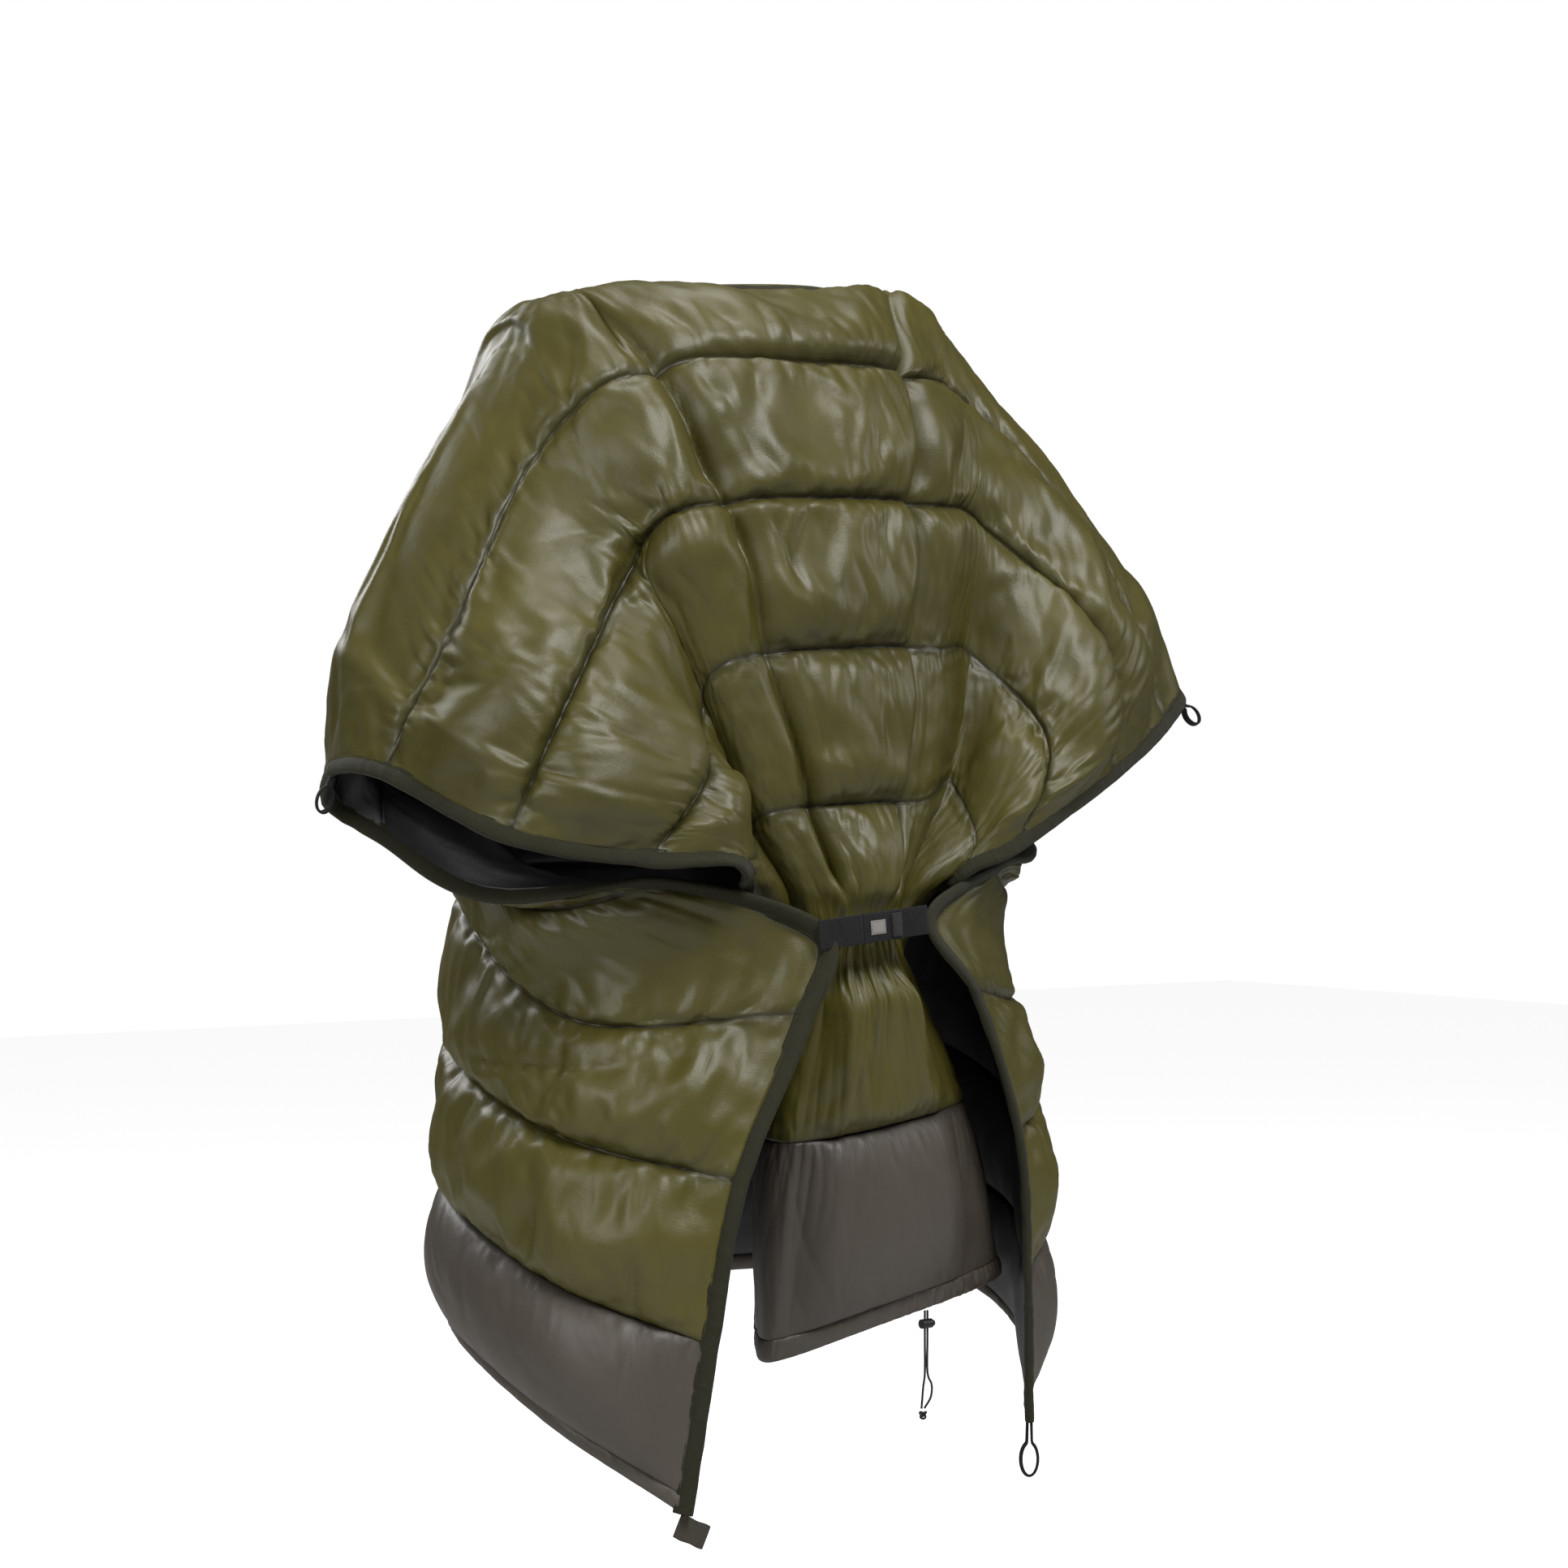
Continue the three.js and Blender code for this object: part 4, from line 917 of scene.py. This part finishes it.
def cloth_piece(name, us, vs_out, side, face, offset_of, detail_of, painted_backlight=0.0):
    """A skin of one half between two distances from the slit, as an open grid with its attributes."""
    points, normal, vs = half_grid(us, vs_out, side, lambda a, b: face * offset_of(a, b))
    points = points + face * normal * detail_of(us, vs)[..., None]
    faces = grid_faces(len(vs), len(us))
    if (side < 0) == (face > 0):
        faces = faces[:, ::-1]
    # point attributes: painted shade in the seam grooves, and painted light through the cloth (none by
    # default)
    layers = {"painted_seam_shade": painted_shade_in_seams(us, vs).ravel(), "painted_backlight": np.full(len(vs) * len(us), painted_backlight)}
    uv = np.stack(np.meshgrid(us, vs), -1).reshape(-1, 2) / 1000
    return thicken(new_mesh(name, points.reshape(-1, 3) / 1000, faces[:, ::-1], uv=uv, layers=layers),
                   LINING_THICKNESS)


def end_detail(us, vs):
    """The end panel's own folds: puckers at its seam, and a second set that runs up from the gathered hem."""
    uu, vv = np.meshgrid(us, vs)
    from_hem = HALF_LENGTH - np.abs(vv)
    ruffle = noise(uu / 16, from_hem / 60, 14) * np.exp(-from_hem / 26)
    calm = (0.3 + 0.7 * smooth((HALF_WIDTH - np.abs(us)) / 40))[None, :]
    soft = crown_share(us, vs)
    return calm * (puckers(us, vs) * (0.3 + 0.7 * soft) + 2.4 * ruffle * soft + rumple(us, vs, 15) * soft
                   - crease_depth(us, vs) * soft)


end_reach = np.concatenate([[PANEL_SEAM], stations(5.0, 3.4, PANEL_SEAM, HALF_LENGTH)])
end_reach = np.unique(np.round(end_reach, 3))
for half, side in (("front", -1), ("back", 1)):
    end = cloth_piece(f"{half}_end_panel", us_fine, end_reach, side, 1, outer_offset, end_detail)
    dress(end, END_SHELL, "end_shell", "quilt", f"{half}_end_shell", f"{half}_fill_end")


def lining_offset(us, vs):
    return loft(us, vs, INNER_RISE, INNER_SEAM)


def lining_detail(us, vs):
    soft = crown_share(us, vs)
    folds = (0.5 * puckers(us + 311, vs) + 0.7 * rumple(us, vs, 17)) * soft * (1 - 0.8 * tucked(us, vs))
    return folds + valleys(us, vs) * (0.45 + 0.55 * soft) * (1 - 0.75 * tucked(us, vs))


us_lining = np.linspace(-CLOTH_EDGE, CLOTH_EDGE, 221)
lining_reach = np.concatenate([[0.0], stations(9.0, 5.0, 4.0, HALF_LENGTH)])
for half, side in (("front", -1), ("back", 1)):
    skin = cloth_piece(f"{half}_inner_cloth", us_lining, lining_reach, side, -1, lining_offset, lining_detail)
    dress(skin, LINING, "lining", "quilt", f"{half}_lining")

# ---- bindings and hem channels ----------------------------------------------------------------------------


def edge_frame(sign, vs):
    """Along a long edge, at each v: the point, the outward direction square to the edge, and the normal."""
    edge = np.array([sign * HALF_WIDTH])
    point = drape(edge, vs, -1)[:, 0]
    ahead, behind = drape(edge, vs + 6, 1)[:, 0], drape(edge, vs - 6, -1)[:, 0]
    along = unit(ahead - behind)
    normal = outward(edge, vs, -1)[:, 0]
    out = unit(np.cross(along, normal)) * sign
    return point, out, normal


# Section of the folded tape: how far outwards and how far from the cloth's middle, with a sewn-down groove.
TAPE = np.array([[-6.0, 3.1], [-3.2, 4.0], [-2.2, 3.3], [-1.2, 4.1],
                 [4.0, 4.4], [9.0, 3.9], [11.8, 2.4], [12.6, 0.0]])
TAPE = np.concatenate([TAPE, TAPE[-2::-1] * [1, -1]])


def edge_binding(name, sign, node):
    vs = np.linspace(-HEM_END - 1, HEM_END + 1, 760)
    point, out, normal = edge_frame(sign, vs)
    section = np.broadcast_to(TAPE, (len(vs),) + TAPE.shape).copy()
    section[..., 0] += 0.5 * noise(vs / 26, vs * 0 + sign, 41)[:, None] * (TAPE[:, 0] > 0)
    uneven = 0.10 * noise(vs / 7, vs * 0 + sign, 42) + 0.10 * noise(vs / 23, vs * 0, 43)
    section[..., 1] *= 1 + uneven[:, None]
    rings = sweep(point, out, normal, section)
    tape_piece = dress(add_tube(name, rings), BINDING, "binding", "quilt", node)
    for face, label in ((1, "outer"), (-1, "inner")):
        line = point + out * -2.2 + normal * face * 3.75
        stitches = thread(f"{name}_{label}_stitches", line, normal * face, 3.8, 0.3)
        stitches.data.materials.append(THREAD)
        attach(stitches, "quilt")
    return tape_piece


edge_binding("right_edge_tape", -1, "right_edge_binding")
edge_binding("left_edge_tape", 1, "left_edge_binding")


def rolled_hem(name, us, side, v_middle, v_half, thick, lift_of, material, slot_name, node):
    """A tube along the quilt's width: an oval in v and in the normal's direction, at every u."""
    turn = np.linspace(0, 2 * np.pi, 16, endpoint=False)
    rings = []
    for angle in turn:
        v = side * (v_middle + v_half * np.sign(np.cos(angle)) * abs(np.cos(angle)) ** 0.7)
        point, normal = drape(us, [v], side)[0], outward(us, [v], side)[0]
        off = thick * np.sign(np.sin(angle)) * abs(np.sin(angle)) ** 0.8 * lift_of(us, angle)
        rings.append(point + normal * off[:, None])
    return dress(add_tube(name, np.stack(rings, 1)), material, slot_name, "quilt", node)


def front_ruffle(us, angle):
    """The drawn front hem: fine gathers all along it, deep ones near the drawcord."""
    near_cord = 0.5 + 1.1 * np.exp(-((us - 150) / 120) ** 2)
    return 1 + 0.28 * near_cord * noise(us / 6.5 + 0.3 * np.cos(angle), us * 0 + 2 * np.cos(angle), 51)


def back_ruffle(us, angle):
    return 1 + 0.16 * noise(us / 8 + 0.2 * np.cos(angle), us * 0 + 2 * np.cos(angle), 52)


us_hem = np.linspace(-CLOTH_EDGE - 1, CLOTH_EDGE + 1, 520)
HEM_MIDDLE, HEM_REACH = 1059.5, 10.5
for half, side, thick, ruffle in (("front", -1, 5.0, front_ruffle), ("back", 1, 4.6, back_ruffle)):
    rolled_hem(f"{half}_hem_tube", us_hem, side, HEM_MIDDLE, HEM_REACH, thick, ruffle, END_SHELL,
               "end_shell", f"{half}_hem_channel")
us_neck = np.linspace(-HALF_SLIT - 6, HALF_SLIT + 6, 240)


def neck_pucker(us, angle):
    ends = smooth((HALF_SLIT + 6 - np.abs(us)) / 14)
    return (0.35 + 0.65 * ends) * (1 + 0.14 * noise(us / 8, us * 0 + np.cos(angle), 53))


NECK_MIDDLE, NECK_REACH, NECK_THICK = 5.2, 4.6, 3.9
for half, side in (("front", -1), ("back", 1)):
    rolled_hem(f"{half}_neck_tape", us_neck, side, NECK_MIDDLE, NECK_REACH, NECK_THICK, neck_pucker, BINDING,
               "binding", f"{half}_neck_binding")


def surface_stitches(name, us, v, side, pitch=3.8):
    """A row of stitches along a seam, lying on the outer cloth."""
    point, normal = drape(us, [v], side)[0], outward(us, [v], side)[0]
    line = np.array([float(v)])
    lift = outer_offset(us, line)[0] + outer_detail(us, line)[0] + 0.1
    stitches = thread(name, point + normal * lift[:, None], normal, pitch, 0.3)
    stitches.data.materials.append(THREAD)
    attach(stitches, "quilt")


for half, side in (("front", -1), ("back", 1)):
    for number, seam in enumerate(SEAMS):
        surface_stitches(f"{half}_seam_{number}_stitches", np.linspace(-690, 690, 700), side * seam, side)

# ---- belt ------------------------------------------------------------------------------------------------
BELT_PLACE = np.array([-18.0, -273.0, -600.0])
BELT_TURN = math.radians(-5)
BELT_X = np.array([math.cos(BELT_TURN), 0, -math.sin(BELT_TURN)])
BELT_Z = np.array([math.sin(BELT_TURN), 0, math.cos(BELT_TURN)])
BELT_Y = np.array([0.0, 1.0, 0.0])


def band(name, x_from, x_to, height, thick, depth, material, slot_name, body, nodes, bow=0.0, taper=0.0):
    """A strap in the belt's plane: a rounded flat section carried along it, with softly bowed middle and
    ends."""
    n = max(12, int((x_to - x_from) / 1.2))
    x = np.linspace(x_from, x_to, n)
    share = (x - x_from) / (x_to - x_from)
    y = depth - bow * np.sin(np.pi * share)
    path = BELT_PLACE + x[:, None] * BELT_X + y[:, None] * BELT_Y
    side = np.broadcast_to(BELT_Z, path.shape)
    up = np.broadcast_to(-BELT_Y, path.shape)
    end = np.minimum(1, np.minimum(share, 1 - share) * (x_to - x_from) / 1.2)
    section = rounded(height, thick)[None] * np.stack([1 - taper * share ** 2, 0.55 + 0.45 * end], 1)[:, None]
    piece = add_tube(name, sweep(path, side, up, section))
    return dress(piece, material, slot_name, body, *nodes)


def belt_stitches(name, corners, depth, body):
    """A sewn box or line on the belt, from its corners in the belt's own plane."""
    corners = np.array(corners, float)
    runs = [np.linspace(a, b, 12)[:-1] for a, b in zip(corners[:-1], corners[1:])]
    path = np.concatenate(runs + [corners[-1:]])
    points = BELT_PLACE + path[:, :1] * BELT_X + path[:, 1:] * BELT_Z + depth * BELT_Y
    stitches = thread(name, points, np.broadcast_to(-BELT_Y, points.shape), 2.6, 0.28)
    stitches.data.materials.append(FASTENER)
    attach(stitches, body)


band("right_strap", -64, -14.4, 27, 1.6, 0, WEBBING, "webbing", "quilt", ["right_belt_strap"])
band("left_strap", -10, 64, 27, 1.6, 4.9, WEBBING, "webbing", "quilt", ["left_belt_strap"])
band("loop_tape", -10, 19, 22, 1.2, 3.2, FASTENER, "fastener_tape", "quilt", ["loop_patch"])
band("strap_flap", -13.9, 30, 27, 1.6, 0, WEBBING, "webbing", "belt_flap", ["belt_flap"])
band("hook_tape", -10, 17, 22, 1.2, 1.7, FASTENER, "fastener_tape", "belt_flap", ["hook_patch"])
band("flap_pull", 18, 29, 22, 1.4, -1.9, FASTENER, "fastener_tape", "belt_flap", ["pull_tab"], bow=0.5)
band("name_patch", -6, 11, 13, 0.7, -1.4, LABEL, "label", "belt_flap", ["blank_label"])
PATCH_CORNERS = [(-4.8, -5.2), (9.8, -5.2), (9.8, 5.2), (-4.8, 5.2), (-4.8, -5.2)]
belt_stitches("patch_stitches", PATCH_CORNERS, -1.9, "belt_flap")
belt_stitches("pull_stitches", [(20, -9), (20, 9)], -2.9, "belt_flap")
belt_stitches("right_bar_tack", [(-58, -11), (-52, 11), (-46, -11), (-40, 11), (-34, -11)], -1.0, "quilt")
belt_stitches("left_bar_tack", [(34, -11), (40, 11), (46, -11), (52, 11), (58, -11)], 3.9, "quilt")


# ---- loops and tab ----------------------------------------------------------------------------------------
def turned(degrees_y, degrees_z=0.0):
    """Axes of a piece that is turned about Y and then about Z."""
    a, b = math.radians(degrees_y), math.radians(degrees_z)
    about_y = np.array([[math.cos(a), 0, math.sin(a)], [0, 1, 0], [-math.sin(a), 0, math.cos(a)]])
    about_z = np.array([[math.cos(b), -math.sin(b), 0], [math.sin(b), math.cos(b), 0], [0, 0, 1]])
    return about_z @ about_y


def webbing_loop(name, root, axes, neck, eye_width, eye_height, width, wall, body, node, twist=0.0):
    """A webbing strip that goes down its neck, round an eye and back up, in the plane of its own X and Z. Its
    section is a flat ribbon whose width runs along its own Y, and it may twist on the way round."""
    t = np.linspace(0, 1, 70)
    angle = np.radians(90 - 17 - (360 - 34) * t)
    rx, rz = eye_width / 2 - wall / 2, eye_height / 2 - wall / 2
    eye = np.stack([rx * np.cos(angle), 0 * t, rz * np.sin(angle) - neck - eye_height / 2], 1)
    down = np.linspace([wall * 0.62, 0, 0], eye[0], 12)[:-1]
    rise = np.linspace(eye[-1], [-wall * 0.62, 0, 0], 12)[1:]
    path = np.concatenate([down, eye, rise])
    for _ in range(3):
        path[1:-1] = (path[:-2] + 2 * path[1:-1] + path[2:]) / 4
    tangent = along_of(path)
    wide = np.broadcast_to([0.0, 1.0, 0.0], path.shape)
    thick = np.cross(tangent, wide)
    lean = np.radians(twist) * np.sin(np.linspace(0, np.pi, len(path)))
    side = wide * np.cos(lean)[:, None] + thick * np.sin(lean)[:, None]
    up = thick * np.cos(lean)[:, None] - wide * np.sin(lean)[:, None]
    rings = sweep(path, side, up, rounded(width, wall * 0.85))
    rings = rings @ axes.T + np.array(root)
    dress(add_tube(name, rings), WEBBING, "webbing", body, node)


def edge_place(sign, v, beyond):
    point, out, _ = edge_frame(sign, np.array([float(v)]))
    return point[0] + out[0] * beyond


webbing_loop("left_wing_webbing", edge_place(1, 0, 14), turned(math.degrees(-0.9)), 8, 18, 27, 7, 2.8,
             "left_wing_loop", "left_wing_loop", twist=22)
webbing_loop("right_wing_webbing", edge_place(-1, 0, 14), turned(math.degrees(0.35)), 8, 18, 27, 7, 2.8,
             "right_wing_loop", "right_wing_loop", twist=-18)
corner = drape([HALF_WIDTH], [HEM_END], 1)[0, 0] + [0, 0, -3.2]
webbing_loop("left_corner_webbing", corner, turned(0, math.degrees(-0.6)), 18.5, 20, 36, 7, 3.2,
             "left_corner_loop", "left_corner_loop", twist=14)
tab_axes = turned(26)
tab_place = drape([-HALF_WIDTH], [HEM_END], 1)[0, 0] + [2, 0, -1.5]
tab_x = np.linspace(0, 34, 40)
tab_path = np.stack([tab_x, 0.5 * np.sin(tab_x / 5.5), np.full(40, -11.0)], 1)
tab_section = rounded(22, 1.7)[None] * np.stack([1 - 0.03 * np.cos(tab_x / 3), np.full(40, 1.0)], 1)[:, None]
tab_side = np.broadcast_to([0.0, 0.0, 1.0], tab_path.shape)
tab_front = np.broadcast_to([0.0, -1.0, 0.0], tab_path.shape)
tab_rings = sweep(tab_path, tab_side, tab_front, tab_section) @ tab_axes.T + tab_place
dress(add_tube("corner_tab", tab_rings), TAB, "tab_webbing", "right_corner_tab", "right_corner_tab")

# ---- the CAD's own pieces that keep their shape -----------------------------------------------------------
for node, material in (("cord_lock_barrel", LOCK), ("cord_lock_button", LOCK), ("lock_spring", STEEL)):
    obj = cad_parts[node]
    obj.data.materials.clear()
    obj.data.materials.append(material)
